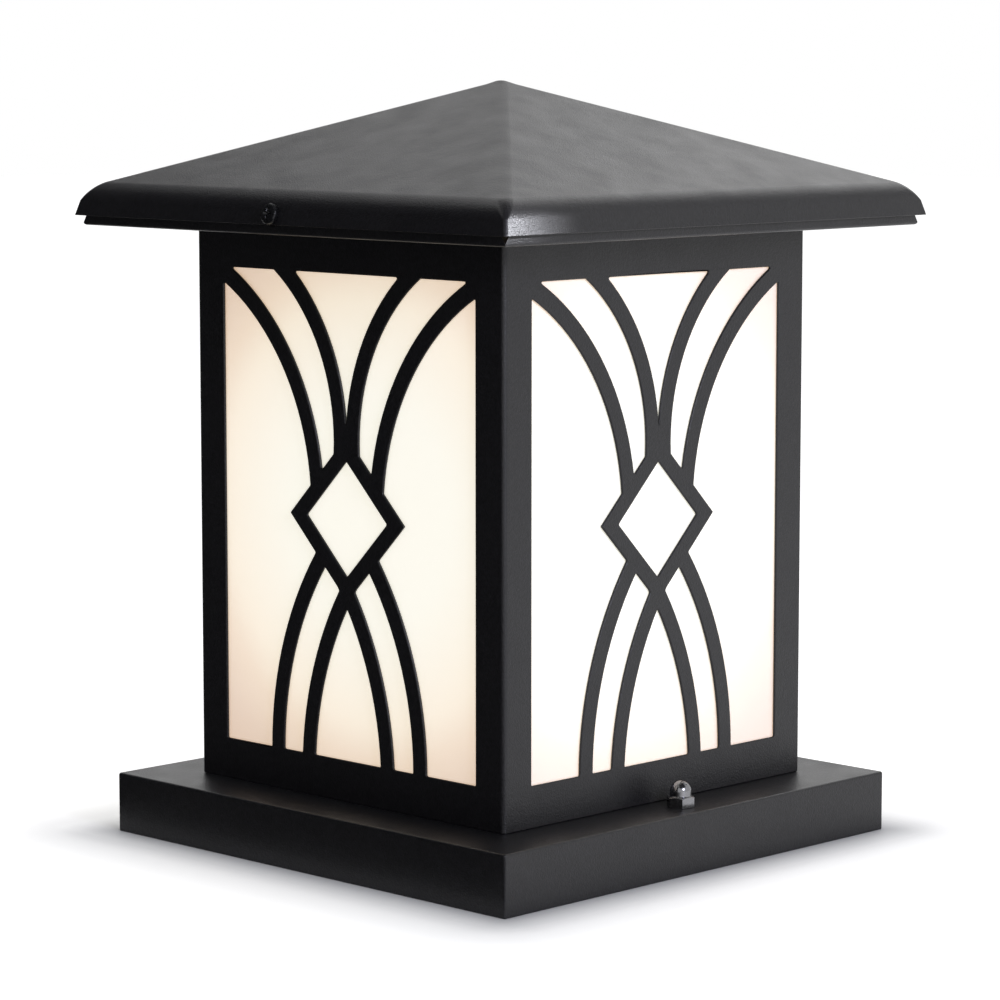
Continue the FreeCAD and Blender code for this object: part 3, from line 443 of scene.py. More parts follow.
# ==== Base cover ===============================================================================
# A square of sheet steel with its four sides folded down over the bracket, welded and ground at
# the corners, then coated with black powder. Its top shows as a ledge all round the shell.
coat_grain = 0.6 * MM
coat_grain_depth = 0.14 * MM
coat_flow = 2.6 * MM
coat_flow_depth = 0.03 * MM
panel_wave = 90 * MM
panel_wave_depth = 0.05 * MM
fold_edge = 0.5 * MM


def powder_finish():
    """Satin black polyester powder: a fine pebbled skin over slightly wavy sheet."""
    coat = finish("black_powder_coat", (0.009, 0.0086, 0.010), 0.38, specular=0.42)
    blotch(coat, cloudy(coat, 1.1 * MM, 3), (0.0062, 0.0058, 0.007), (0.012, 0.0115, 0.0135))
    vary(coat, "Roughness", cloudy(coat, 14 * MM, 3), 0.34, 0.41)
    relief(coat, cloudy(coat, panel_wave, 1), panel_wave_depth)
    relief(coat, cloudy(coat, coat_flow, 1), coat_flow_depth)
    relief(coat, cloudy(coat, coat_grain, 2), coat_grain_depth)
    return coat


powder = powder_finish()
softened("folded_base_cover", "base_cover", powder, fold_edge)


# ==== Shell =====================================================================================
# Two L-shaped halves of laser-cut sheet, each bent at one corner. Every face has a frame, a
# diamond on its corner, and arcs that sweep up and down from it.
sheet = 1.2 * MM
beam_radius = 0.7 * MM
cut_edge = 0.45 * MM
corner_steps = 6
longest_cut_share = 0.45
shell_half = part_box("shell_front_half")[1].x
skin_play = 0.01 * MM
square_on = 0.999


def closed_runs(edges):
    """Vertices of each closed run that the edges make, in order."""
    left = dict.fromkeys(edges)
    runs = []
    while left:
        run = list(left.popitem()[0].verts)
        ahead = next((edge for edge in run[-1].link_edges if edge in left), None)
        while ahead:
            del left[ahead]
            run.append(ahead.other_vert(run[-1]))
            ahead = next((edge for edge in run[-1].link_edges if edge in left), None)
        runs.append(run[:-1])
    return runs


def run_height(run):
    """Height from a run's lowest vertex to its highest."""
    heights = [vert.co.z for vert in run]
    return max(heights) - min(heights)


def rounded_outline(corners):
    """The outline with a small round at each sharp corner, no longer than its sides allow."""
    spots = []
    for before, corner, after in zip(corners[-1:] + corners[:-1], corners, corners[1:] + corners[:1]):
        back, ahead = before - corner, after - corner
        turn = math.pi - back.angle(ahead)
        if turn < sharp_angle:
            spots.append(corner)
            continue
        cut = min(beam_radius * math.tan(turn / 2), back.length * longest_cut_share,
                  ahead.length * longest_cut_share)
        start, end = corner + back.normalized() * cut, corner + ahead.normalized() * cut
        for k in range(corner_steps + 1):
            share = k / corner_steps
            spots.append(start.lerp(corner, share).lerp(corner.lerp(end, share), share))
    return spots


def wall_skin(work, axis, side, depth):
    """Faces of a wall's outer skin, at depth 0, or of its inner one."""
    facing = -side if depth else side
    return {face for face in work.faces if face.normal[axis] * facing > square_on
            and abs(face.calc_center_median()[axis] * side - shell_half + depth) < skin_play}


def rim_and_openings(work, skin):
    """Edges round a skin's outside, and the run of vertices round each of its openings."""
    edges = [edge for edge in work.edges if sum(face in skin for face in edge.link_faces) == 1]
    *openings, outside = sorted(closed_runs(edges), key=run_height)
    return [edge for edge in edges if edge.verts[0] in outside], openings


def cut_walls(work):
    """Cuts the walls' openings anew, with the small corners that a cutting beam leaves."""
    for axis, side in ((0, 1), (0, -1), (1, 1), (1, -1)):
        skins = [wall_skin(work, axis, side, depth) for depth in (0, sheet)]
        if not skins[0]:
            continue
        (outer_rim, openings), (inner_rim, inner_openings) = [rim_and_openings(work, skin) for skin in skins]
        spent = skins[0] | skins[1]
        for run in openings + inner_openings:
            spent.update(face for vert in run for face in vert.link_faces)
        outlines = [rounded_outline([vert.co.copy() for vert in run]) for run in openings]
        inward = Vector((0, 0, 0))
        inward[axis] = -side * sheet
        bmesh.ops.delete(work, geom=[face for face in work.faces if face in spent], context="FACES")
        for outline in outlines:
            rings = [[work.verts.new(spot + shift) for spot in outline] for shift in (Vector(), inward)]
            for rim, ring in zip((outer_rim, inner_rim), rings):
                rim += [work.edges.new(pair) for pair in zip(ring, ring[1:] + ring[:1])]
            for k, (outer, inner) in enumerate(zip(*rings)):
                work.faces.new((rings[0][k - 1], outer, inner, rings[1][k - 1]))
        for rim in (outer_rim, inner_rim):
            bmesh.ops.triangle_fill(work, use_beauty=True, edges=rim, normal=inward)
    bmesh.ops.recalc_face_normals(work, faces=work.faces)


softened("cut_shell_front", "shell_front_half", powder, cut_edge, cut_walls)
softened("cut_shell_back", "shell_back_half", powder, cut_edge, cut_walls)


# ==== Opal panes ================================================================================
# Four sheets of opal acrylic that stand behind the cut-outs. Their glow is painted light, an emission
# in place of the lamp in the middle: nearest to it they are whitest, towards the edges warmer and weaker.
# Painted light: the centre of the panes' glow near the top of the lamp's globe, its reach, and its colours by
# distance in millimetres.
painted_glow_shift = 12 * MM
painted_glow_drop = 13 * MM
painted_glow_middle = (painted_glow_shift, -painted_glow_shift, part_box("lamp_globe")[1].z - painted_glow_drop)
painted_glow_reach = 160 * MM
painted_glow_stops = ((84, (0.70, 0.67, 0.56)), (109, (0.70, 0.60, 0.45)), (120, (0.63, 0.48, 0.33)),
              (134, (0.55, 0.39, 0.26)), (150, (0.52, 0.35, 0.22)))
pane_edge = 0.3 * MM


def lit(material, colour, strength):
    """The finish with a light of its own."""
    inputs = shader_of(material).inputs
    inputs["Emission Color"].default_value = (*colour, 1)
    inputs["Emission Strength"].default_value = strength
    return material


def opal_painted_glow_finish():
    """Opal acrylic with a painted glow in place of the lamp behind it: whitest near the lamp's brightest spot,
    warmer away from it.
    """
    opal = lit(finish("opal_acrylic_painted_glow", (0.86, 0.86, 0.86), 0.16, specular=0.4), (1, 1, 1), 1.0)
    tree = opal.node_tree
    place = joined(tree, "ShaderNodeTexCoord").outputs["Object"]
    from_lamp = joined(tree, "ShaderNodeVectorMath", place, painted_glow_middle, operation="DISTANCE")
    stops = [(millimetres * MM / painted_glow_reach, colour) for millimetres, colour in painted_glow_stops]
    share = reckon(tree, "DIVIDE", from_lamp.outputs["Value"], painted_glow_reach)
    # Painted light: the emission colour follows the distance from the glow's centre.
    drive(opal, "Emission Color", ramped(tree, share, stops))
    relief(opal, cloudy(opal, 40 * MM, 1), 0.05 * MM)
    return opal


opal = opal_painted_glow_finish()
for side in ("front", "right", "back", "left"):
    softened("opal_pane_" + side, "pane_" + side, opal, pane_edge)


# ==== Corner retainers, screws and nuts ==========================================================
# Four zinc plated angles that press the panes to the shell. A pan-head screw at the foot and one
# at the head of each corner hold base cover, shell, retainer and tray together.
for corner in ("front_right", "back_right", "back_left", "front_left"):
    softened("retainer_angle_" + corner, "corner_retainer_" + corner, zinc)
softened("foot_nuts", "shell_foot_nuts", zinc)
softened("head_nuts", "tray_nuts", zinc)
m4_radius = 2.0 * MM
m4_pitch = 0.7 * MM
m4_head_radius = 4.0 * MM
m4_head_height = 2.6 * MM
pan_wall_share = 0.6
pan_roundness = 0.8
pan_steps = 9
turned_columns = 40
recess_share = 0.56
recess_depth_share = 0.6
recess_arm_share = 0.24
recess_floor_share = 0.55
recess_edge = 0.05 * MM
recess_edge_angle = math.radians(40)
punch_top_share = 1.05
punch_top_rise = 1.3


def cross_punch(reach, top, depth):
    """Tapered cross that leaves a cross recess of the given reach and depth."""
    arm = reach * recess_arm_share
    outline = []
    for quarter in range(4):
        spin = Matrix.Rotation(-quarter * math.pi / 2, 2)
        outline += [spin @ Vector(corner) for corner in ((arm, arm), (reach, arm), (reach, -arm))]
    levels = ((recess_floor_share, top - depth), (1.0, top), (punch_top_share, top * punch_top_rise))
    return lofted("cross_punch", [[(*(spot * share), z) for spot in outline] for share, z in levels])


def carve(piece, tool, operation):
    """Has a piece joined with another solid, or cut by it."""
    change = piece.modifiers.new("carve", "BOOLEAN")
    change.object = tool
    change.operation = operation
    change.solver = "EXACT"


def pan_head(name, radius, height):
    """Domed head on z = 0 with a cross recess, turned as one profile and then punched."""
    wall = height * pan_wall_share
    profile = [(0, 0), (radius, 0), (radius, wall)]
    for k in range(1, pan_steps):
        angle = math.pi / 2 * k / pan_steps
        profile.append((radius * math.cos(angle) ** pan_roundness, wall + (height - wall) * math.sin(angle)))
    profile.append((0, height))
    work = bmesh.new()
    points = [work.verts.new((x, 0, z)) for x, z in profile]
    edges = [work.edges.new(pair) for pair in zip(points, points[1:])]
    bmesh.ops.spin(work, geom=points + edges, axis=(0, 0, 1), cent=(0, 0, 0), steps=turned_columns,
                   angle=2 * math.pi)
    bmesh.ops.remove_doubles(work, verts=work.verts, dist=weld)
    head = pattern_object(name, work)
    punch = cross_punch(radius * recess_share, height, height * recess_depth_share)
    scene.collection.objects.link(head)
    scene.collection.objects.link(punch)
    carve(head, punch, "DIFFERENCE")
    rounding = head.modifiers.new("edges", "BEVEL")
    rounding.width = recess_edge
    rounding.limit_method = "ANGLE"
    rounding.angle_limit = recess_edge_angle
    settle(head)
    scene.collection.objects.unlink(head)
    bpy.data.objects.remove(punch)
    return head


m4_head = pan_head("m4_pan_head", m4_head_radius, m4_head_height)


def corner_screws(name, node):
    """Four M4 screws, one in each corner."""
    low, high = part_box(node)
    seat = high.z - m4_head_height
    out = high.x - m4_head_radius
    places = [(x, y, seat) for x in (-out, out) for y in (-out, out)]
    screws(name, node, m4_head, places, m4_radius, m4_pitch, seat - low.z, zinc)


corner_screws("foot_screws", "shell_foot_screws")
corner_screws("head_screws", "tray_screws")


# ==== Roof tray =================================================================================
# A shallow folded pan screwed to the shell's head. Its rim, notched at the corners, shows as a
# thin band under the roof's lip, and two bent-up lugs take the tips of the roof screws.
softened("folded_roof_tray", "roof_tray", powder)


# ==== Roof ======================================================================================
# A pyramid stamped from one sheet: soft ridges, a rounded eave and a short skirt that leans out
# over the tray's rim. A screw through the skirt clamps it on each of two opposite sides.
roof_slope = math.radians(19.85)
skirt_lean = math.radians(15)
skirt_height = 11.3 * MM
knee_radius = 11.0 * MM
lip_corner_radius = 1.6 * MM
ridge_corner_radius = 4.5 * MM
shoulder = 5.4 * MM
apex_radius = 7.0 * MM
apex_corner_share = 0.9
ball_corner = 1.5 * MM
knee_steps = 10
apex_steps = 5
columns_per_side = 24
corner_columns_share = 0.34
roof_edge = 0.25 * MM


def roof_section(inset):
    """Half width, corner radius and height of each ring, from the lip to the apex.

    The inset is how far the rings stand in from the sheet's outer skin.
    """
    low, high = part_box("roof_cap")
    knee_z = low.z + skirt_height
    knee_x = high.x - skirt_height * math.tan(skirt_lean)
    turn = math.pi / 2 - skirt_lean - roof_slope
    tangent = knee_radius * math.tan(turn / 2)
    centre_x = knee_x + tangent * math.sin(skirt_lean) - knee_radius * math.cos(skirt_lean)
    centre_z = knee_z - tangent * math.cos(skirt_lean) - knee_radius * math.sin(skirt_lean)
    thinner = inset * math.tan(math.pi / 8)
    rings = [(high.x - inset / math.cos(skirt_lean), lip_corner_radius - thinner, low.z)]
    for k in range(knee_steps + 1):
        angle = skirt_lean + turn * k / knee_steps
        corner = lip_corner_radius + (ridge_corner_radius - lip_corner_radius) * k / knee_steps
        corner += ball_corner * math.sin(math.pi * k / knee_steps)
        rings.append((centre_x + (knee_radius - inset) * math.cos(angle), corner - thinner,
                      centre_z + (knee_radius - inset) * math.sin(angle)))
    half, corner, height = rings[-1]
    rings.append((shoulder, corner, height + (half - shoulder) * math.tan(roof_slope)))
    dome_middle = knee_z + knee_x * math.tan(roof_slope) - apex_radius / math.cos(roof_slope)
    for k in range(apex_steps + 1):
        angle = roof_slope * (1 - k / apex_steps)
        reach = (apex_radius - inset) * math.sin(angle)
        top = min(dome_middle + (apex_radius - inset) * math.cos(angle), high.z - inset)
        rings.append((reach, reach * apex_corner_share, top))
    return rings


def square_sweep_tree():
    """Sweeps a section round a square with rounded corners.

    The places are the section's rings: half width, corner radius and height. Each side's columns go
    round its corner first, over the corner share, and then along its straight run.
    """
    tree, size = node_tree("square_sweep", PerSide="Int", CornerShare="Float", Rows="Int")
    columns = reckon(tree, "MULTIPLY_ADD", size["PerSide"], 4, 1)
    grid, column, row = numbered_grid(tree, columns, size["Rows"])
    place = joined(tree, "GeometryNodeInputPosition").outputs[0]
    ring = joined(tree, "GeometryNodeSampleIndex", data_type="FLOAT_VECTOR", Geometry=size["Places"],
                  Value=place, Index=row)
    half, corner, height = joined(tree, "ShaderNodeSeparateXYZ", ring.outputs["Value"]).outputs
    along = reckon(tree, "DIVIDE", column, size["PerSide"])
    share = reckon(tree, "FRACT", along)
    bend = reckon(tree, "MINIMUM", reckon(tree, "DIVIDE", share, size["CornerShare"]), 1)
    across, out = polar(tree, corner, reckon(tree, "MULTIPLY", bend, math.pi / 2))
    left = reckon(tree, "SUBTRACT", 1, size["CornerShare"])
    run = reckon(tree, "DIVIDE", reckon(tree, "SUBTRACT", share, size["CornerShare"]), left)
    run = reckon(tree, "MAXIMUM", run, 0)
    flat = reckon(tree, "SUBTRACT", half, corner)
    x = reckon(tree, "MULTIPLY", flat, reckon(tree, "MULTIPLY_ADD", run, -2, 1))
    x = reckon(tree, "ADD", x, across)
    y = reckon(tree, "ADD", flat, out)
    spot = joined(tree, "ShaderNodeCombineXYZ", x, y, height).outputs[0]
    quarters = reckon(tree, "MULTIPLY", reckon(tree, "FLOOR", along), math.pi / 2)
    turned = joined(tree, "ShaderNodeVectorRotate", rotation_type="Z_AXIS", Vector=spot, Angle=quarters)
    swept = wrapped(tree, grid, turned.outputs[0])
    painted(tree, size, joined(tree, "GeometryNodeSetShadeSmooth", swept).outputs[0])
    return tree


roof_screw_length = 12.0 * MM
collar_radius = 2.8 * MM
collar_end = 3.4 * MM
bore_radius = 2.05 * MM
bore_start = -2 * MM
bore_end = collar_end + 3 * MM


def roof_screw_axis(node):
    """Outward direction of a roof screw, and the point under its head, from the box round it."""
    outward = Vector(next(joint for joint in frame["joints"] if joint["child"] == node)["axis"]).normalized()
    low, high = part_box(node)
    inner_y = low.y if outward.y > 0 else high.y
    tip = Vector(((low.x + high.x) / 2, inner_y + math.copysign(m4_radius * outward.z, outward.y),
                  low.z + m4_radius * abs(outward.y)))
    return outward, tip + outward * roof_screw_length


def rod(radius, seat, outward, start, end):
    """Round bar on a screw's axis, between two distances inwards from its seat."""
    work = bmesh.new()
    bmesh.ops.create_cone(work, cap_ends=True, segments=turned_columns, radius1=radius, radius2=radius,
                          depth=end - start)
    work.transform(Matrix.Translation(seat - outward * (start + end) / 2) @
                   outward.to_track_quat("Z", "Y").to_matrix().to_4x4())
    bar = pattern_object("rod", work)
    scene.collection.objects.link(bar)
    return bar


def stamped_roof():
    """Roof with its two tapped collars, drawn inwards through the skirt for the roof screws."""
    outside = roof_section(0)
    inside = roof_section(sheet)
    section = outside + inside[::-1] + outside[:1]
    piece = grown("stamped_roof", square_sweep_tree(), section, powder, PerSide=columns_per_side,
                  CornerShare=corner_columns_share, Rows=len(section))
    work = bmesh.new()
    work.from_mesh(piece.data)
    bmesh.ops.recalc_face_normals(work, faces=work.faces)
    work.to_mesh(piece.data)
    work.free()
    for node in ("roof_screw_front", "roof_screw_back"):
        outward, seat = roof_screw_axis(node)
        for radius, start, end, operation in ((collar_radius, sheet / 2, collar_end, "UNION"),
                                              (bore_radius, bore_start, bore_end, "DIFFERENCE")):
            bar = rod(radius, seat, outward, start, end)
            carve(piece, bar, operation)
            plain_mesh(piece, powder)
            bpy.data.objects.remove(bar)
    rounded(piece, powder, roof_edge)
    stand_in(piece, "roof_cap")


stamped_roof()


# ==== Roof screws ===============================================================================
# Black zinc plated M4 pan-head screws, driven square to the leaning skirt into the collars, one
# on the front and one on the back.
def black_zinc_finish():
    """Black passivated zinc, a little glossier than the powder round it."""
    black = finish("black_zinc", (0.016, 0.016, 0.018), 0.26, metallic=0.6)
    vary(black, "Roughness", cloudy(black, 1.2 * MM, 3), 0.2, 0.36)
    relief(black, cloudy(black, 0.3 * MM, 2), 0.008 * MM)
    return black


black_zinc = black_zinc_finish()
for node in ("roof_screw_front", "roof_screw_back"):
    outward, seat = roof_screw_axis(node)
    screws(node + "_driven", node, m4_head, [seat], m4_radius, m4_pitch, roof_screw_length, black_zinc,
           turn=tuple(outward.to_track_quat("Z", "Y").to_euler()))


# ==== Cap nuts ==================================================================================
# Acorn nuts in polished black nickel, run down the studs onto the ledge of the base cover. They
# hold the whole lantern to the bracket.
nut_edge = 0.2 * MM


def black_nickel_finish():
    """Dark mirror plating with faint polishing marks."""
    nickel = finish("black_nickel", (0.22, 0.22, 0.23), 0.18, metallic=1.0)
    vary(nickel, "Roughness", cloudy(nickel, 1.5 * MM, 3), 0.12, 0.25)
    relief(nickel, cloudy(nickel, 0.6 * MM, 2, (1, 1, 0.3)), 0.006 * MM)
    return nickel


black_nickel = black_nickel_finish()
for side in ("right", "left"):
    softened("acorn_nut_" + side, "cap_nut_" + side, black_nickel, nut_edge)


# ==== Lampholder =================================================================================
# A glazed porcelain body on a bridge of zinc plated strap. A nickel plated screw shell lines its
# bore, and a brass tongue at the bottom makes the other contact.
glaze_edge = 0.4 * MM
stamped_edge = 0.1 * MM
m3_radius = 1.5 * MM
m3_pitch = 0.5 * MM
m3_head_radius = 2.8 * MM
m3_head_height = 1.8 * MM


def porcelain_finish():
    """Warm white glaze with soft patches of a darker tone."""
    glaze = finish("glazed_porcelain", (0.83, 0.80, 0.72), 0.12, coat=0.6, coat_roughness=0.05)
    blotch(glaze, cloudy(glaze, 5 * MM, 4), (0.78, 0.74, 0.65), (0.86, 0.83, 0.76))
    relief(glaze, cloudy(glaze, 3 * MM, 1), 0.04 * MM)
    return glaze


def nickel_finish():
    """Nickel plate on thin rolled brass."""
    plate = finish("nickel_plate", (0.66, 0.62, 0.56), 0.24, metallic=1.0)
    blotch(plate, cloudy(plate, 4 * MM, 3), (0.60, 0.56, 0.50), (0.72, 0.68, 0.62))
    vary(plate, "Roughness", cloudy(plate, 1.5 * MM, 3), 0.18, 0.34)
    return plate


def brass_finish():
    """Bare brass, a little tarnished."""
    brass = finish("contact_brass", (0.70, 0.50, 0.22), 0.3, metallic=1.0)
    blotch(brass, cloudy(brass, 2 * MM, 3), (0.60, 0.41, 0.17), (0.76, 0.56, 0.26))
    relief(brass, cloudy(brass, 0.3 * MM, 2, (1, 0.2, 1)), 0.01 * MM)
    return brass


porcelain = porcelain_finish()
nickel = nickel_finish()
brass = brass_finish()
softened("holder_strap", "lampholder_strap", zinc)
softened("holder_strap_nuts", "strap_nuts", zinc)
softened("porcelain_holder", "lampholder_body", porcelain, glaze_edge)
softened("contact_tongue", "lampholder_contact", brass, stamped_edge)
softened("holder_nuts", "lampholder_nuts", zinc)
m3_head = pan_head("m3_pan_head", m3_head_radius, m3_head_height)


def upright_pair(name, node, head, head_radius, head_height, radius, pitch):
    """Two screws, heads up, side by side along X."""
    low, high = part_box(node)
    seat = high.z - head_height
    out = high.x - head_radius
    screws(name, node, head, [(-out, 0, seat), (out, 0, seat)], radius, pitch, seat - low.z, zinc)


upright_pair("holder_strap_screws", "strap_screws", m4_head, m4_head_radius, m4_head_height,
             m4_radius, m4_pitch)
upright_pair("holder_screws", "lampholder_screws", m3_head, m3_head_radius, m3_head_height,
             m3_radius, m3_pitch)
rope_pitch = 3.6 * MM
rope_rows_per_pitch = 14
rope_columns = 64
speck_area = 1e-12


def outward_normals(piece):
    """Turns an open sleeve's faces outwards and drops the folded rows at its ends."""
    work = bmesh.new()
    work.from_mesh(piece.data)
    bmesh.ops.remove_doubles(work, verts=work.verts, dist=weld)
    folded = [face for face in work.faces if face.calc_area() < speck_area]
    bmesh.ops.delete(work, geom=folded, context="FACES")
    for face in work.faces:
        middle = face.calc_center_median()
        if face.normal.x * middle.x + face.normal.y * middle.y < 0:
            face.normal_flip()
    work.to_mesh(piece.data)
    work.free()


def rope_sleeve(name, node, material, depth, wall):
    """Thin sleeve rolled into the rounded thread of a lamp cap, its crests at the node's radius."""
    low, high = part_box(node)
    length = high.z - low.z
    rows = int(length / rope_pitch * rope_rows_per_pitch) + spare_rows
    nothing = bpy.data.objects.new("no_head", bpy.data.meshes.new("no_head"))
    piece = grown(name, threads, [(0, 0, high.z)], material, Head=nothing, Radius=high.x, Depth=depth,
                  Pitch=rope_pitch, Length=length, Sharpness=0.0, Around=rope_columns, Rows=rows,
                  Solid=0.0, Turn=(0, 0, 0))
    outward_normals(piece)
    thickening = piece.modifiers.new("wall", "SOLIDIFY")
    thickening.thickness = wall
    thickening.offset = -1
    plain_mesh(piece, material)
    stand_in(piece, node)


rope_sleeve("rolled_screw_shell", "lampholder_screw_shell", nickel, depth=0.3 * MM, wall=0.25 * MM)


# ==== Lamp ======================================================================================
# A lit opal lamp: rolled screw cap with a glass insulator and a tip, white plastic housing, a
# round board with a ring of emitters on it, a driver board behind that, and a satin globe.
tip_edge = 0.3 * MM
housing_edge = 0.3 * MM
globe_edge = 0.2 * MM
emitter_count = 12
emitter_side = 2.8 * MM
emitter_levels = ((1, 0), (1, 0.9), (0.94, 1), (0.74, 1), (0.66, 0.8))


def plastic_finish(name, colour, roughness, mark=0.04):
    """Moulded plastic with a fine spark-eroded texture and slight colour streaks."""
    plastic = finish(name, colour, roughness, specular=0.45)
    darker = tuple(value * (1 - mark) for value in colour)
    lighter = tuple(min(1, value * (1 + mark)) for value in colour)
    blotch(plastic, cloudy(plastic, 8 * MM, 3), darker, lighter)
    relief(plastic, cloudy(plastic, 0.25 * MM, 2), 0.008 * MM)
    return plastic


lamp_white = plastic_finish("lamp_white_plastic", (0.80, 0.80, 0.78), 0.38)
black_glass = plastic_finish("black_glass", (0.012, 0.012, 0.013), 0.12)
board_white = plastic_finish("white_solder_mask", (0.74, 0.75, 0.73), 0.42)
board_green = plastic_finish("green_solder_mask", (0.03, 0.17, 0.06), 0.35, 0.15)
phosphor = lit(plastic_finish("emitter_phosphor", (0.85, 0.62, 0.16), 0.3), (1.0, 0.78, 0.45), 2.0)
globe_opal = lit(plastic_finish("globe_opal", (0.84, 0.82, 0.78), 0.3, 0.01), (1.0, 0.86, 0.66), 0.9)
softened("cap_tip", "lamp_tip", brass, tip_edge)
softened("cap_insulator", "lamp_insulator", black_glass)
rope_sleeve("rolled_lamp_cap", "lamp_screw_cap", nickel, depth=0.9 * MM, wall=0.3 * MM)
softened("lamp_cup", "lamp_housing", lamp_white, housing_edge)
softened("emitter_board", "lamp_board", board_white, stamped_edge)
softened("driver_board", "lamp_driver", board_green, stamped_edge)
softened("satin_globe", "lamp_globe", globe_opal, globe_edge)


def emitter_tree():
    """Ring of alike emitters, each turned to face away from the ring's middle."""
    tree, size = node_tree("emitter_ring", Count="Int", Radius="Float", Height="Float", Emitter="Object")
    ring = joined(tree, "GeometryNodeMeshCircle", size["Count"], size["Radius"]).outputs[0]
    lift = joined(tree, "ShaderNodeCombineXYZ", 0, 0, size["Height"]).outputs[0]
    raised = joined(tree, "GeometryNodeSetPosition", Geometry=ring, Offset=lift).outputs[0]
    index = joined(tree, "GeometryNodeInputIndex").outputs[0]
    turn = reckon(tree, "MULTIPLY", reckon(tree, "DIVIDE", index, size["Count"]), 2 * math.pi)
    facing = joined(tree, "ShaderNodeCombineXYZ", 0, 0, turn).outputs[0]
    package = joined(tree, "GeometryNodeObjectInfo", size["Emitter"]).outputs["Geometry"]
    painted(tree, size, copied(tree, raised, package, facing))
    return tree


def emitters():
    """Square packages on the board, each with a shallow dished window on top."""
    low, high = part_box("lamp_emitters")
    half, height = emitter_side / 2, high.z - low.z
    outlines = [[(x * half * reach, y * half * reach, height * rise)
                 for x, y in ((1, 1), (-1, 1), (-1, -1), (1, -1))] for reach, rise in emitter_levels]
    piece = grown("emitter_ring", emitter_tree(), [(0, 0, 0)], phosphor, Count=emitter_count,
                  Radius=high.x - half, Height=low.z, Emitter=lofted("emitter_package", outlines))
    stand_in(piece, "lamp_emitters")


emitters()


# ==== Terminal block and leads ===================================================================
# An ivory three-pole block under the base cover's top. Two leads come down to it from the
# lampholder, and a green one joins its middle pole to the earth screw.
clamp_screw_edge = 0.08 * MM
ivory = plastic_finish("block_ivory", (0.72, 0.66, 0.52), 0.45)
black_sleeving = plastic_finish("black_sleeving", (0.02, 0.02, 0.021), 0.4)
white_sleeving = plastic_finish("white_sleeving", (0.75, 0.75, 0.72), 0.4)
green_sleeving = plastic_finish("green_sleeving", (0.02, 0.22, 0.06), 0.4)
bush_rubber = plastic_finish("bush_rubber", (0.03, 0.03, 0.03), 0.6)
softened("three_pole_block", "terminal_block", ivory)
softened("block_clamp_screws", "terminal_clamp_screws", zinc, clamp_screw_edge)
softened("live_wire", "lead_live", black_sleeving)
softened("neutral_wire", "lead_neutral", white_sleeving)
softened("earth_wire", "lead_earth", green_sleeving)
softened("wire_bushes", "lead_bushes", bush_rubber)
softened("earth_ring", "earth_ring_terminal", brass, stamped_edge)
softened("earth_screw_nut", "earth_nut", zinc)


def single_screw(name, node, head, head_height, radius, pitch):
    """One screw, head up, on its node's axis."""
    low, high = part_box(node)
    seat = Vector(((low.x + high.x) / 2, (low.y + high.y) / 2, high.z - head_height))
    screws(name, node, head, [seat], radius, pitch, seat.z - low.z, zinc)


single_screw("block_fixing_screw", "terminal_block_screw", m3_head, m3_head_height, m3_radius, m3_pitch)
single_screw("earth_clamp_screw", "earth_screw", m4_head, m4_head_height, m4_radius, m4_pitch)


# ==== Studio ====================================================================================
# Not part of the light: a pale floor, a white surround and soft lamps. Dark cards and cloths
# that only reflections see keep its faces, ledge and roof as dark as in the photograph.
surround_fill = 0.25
surround_seen = 1.0


def sees_stage(tree):
    """1 for the rays that look at the background directly, by reflection or through glass."""
    path = joined(tree, "ShaderNodeLightPath").outputs
    total = reckon(tree, "ADD", path["Is Camera Ray"], path["Is Glossy Ray"])
    total = reckon(tree, "ADD", total, path["Is Transmission Ray"])
    return reckon(tree, "MINIMUM", total, 1)


def light_surround():
    """White surround, which lights the pieces less than it shows."""
    world = bpy.data.worlds.new("surround")
    scene.world = world
    world.use_nodes = True
    tree = world.node_tree
    background = tree.nodes["Background"]
    background.inputs["Color"].default_value = (1, 1, 1, 1)
    strength = reckon(tree, "MULTIPLY_ADD", sees_stage(tree), surround_seen - surround_fill, surround_fill)
    tree.links.new(strength, background.inputs["Strength"])


light_surround()
base_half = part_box("base_cover")[1].x
floor_reach = 6.0
floor_colour = (0.60, 0.60, 0.60)
# Lift by distance from the base cover in millimetres; the low lift next to the cover is a painted contact shadow.
floor_lift_painted_shadow_stops = ((0, 0.04), (10, 0.26), (24, 0.54), (45, 0.73), (90, 0.79), (400, 0.85))


def lay_floor():
    """Pale floor. Away from the light it lifts to white for the rays that see it; next to the base cover the lift
    fades, a painted contact shadow over the real one.
    """
    mesh = bpy.data.meshes.new("floor")
    corners = [(x * floor_reach, y * floor_reach, 0) for x, y in ((-1, -1), (1, -1), (1, 1), (-1, 1))]
    mesh.from_pydata(corners, [], [(0, 1, 2, 3)])
    floor = in_scene("floor", mesh)
    paint = lit(finish("floor_paint_painted_shadow", floor_colour, 0.6, specular=0.2), (1, 1, 1), 0)
    tree = paint.node_tree
    away = joined(tree, "ShaderNodeTexCoord").outputs["Object"]
    for operation, other in (("ABSOLUTE", None), ("SUBTRACT", (base_half, base_half, 0)), ("MAXIMUM", None)):
        away = joined(tree, "ShaderNodeVectorMath", away, other, operation=operation).outputs[0]
    away = joined(tree, "ShaderNodeVectorMath", away, operation="LENGTH").outputs["Value"]
    reach = floor_lift_painted_shadow_stops[-1][0]
    stops = [(millimetres / reach, (lift, lift, lift)) for millimetres, lift in floor_lift_painted_shadow_stops]
    # Painted shadow: the lift stays small next to the base cover.
    lift = ramped(tree, reckon(tree, "DIVIDE", away, reach * MM), stops)
    drive(paint, "Emission Strength", reckon(tree, "MULTIPLY", sees_stage(tree), lift))
    mesh.materials.append(paint)


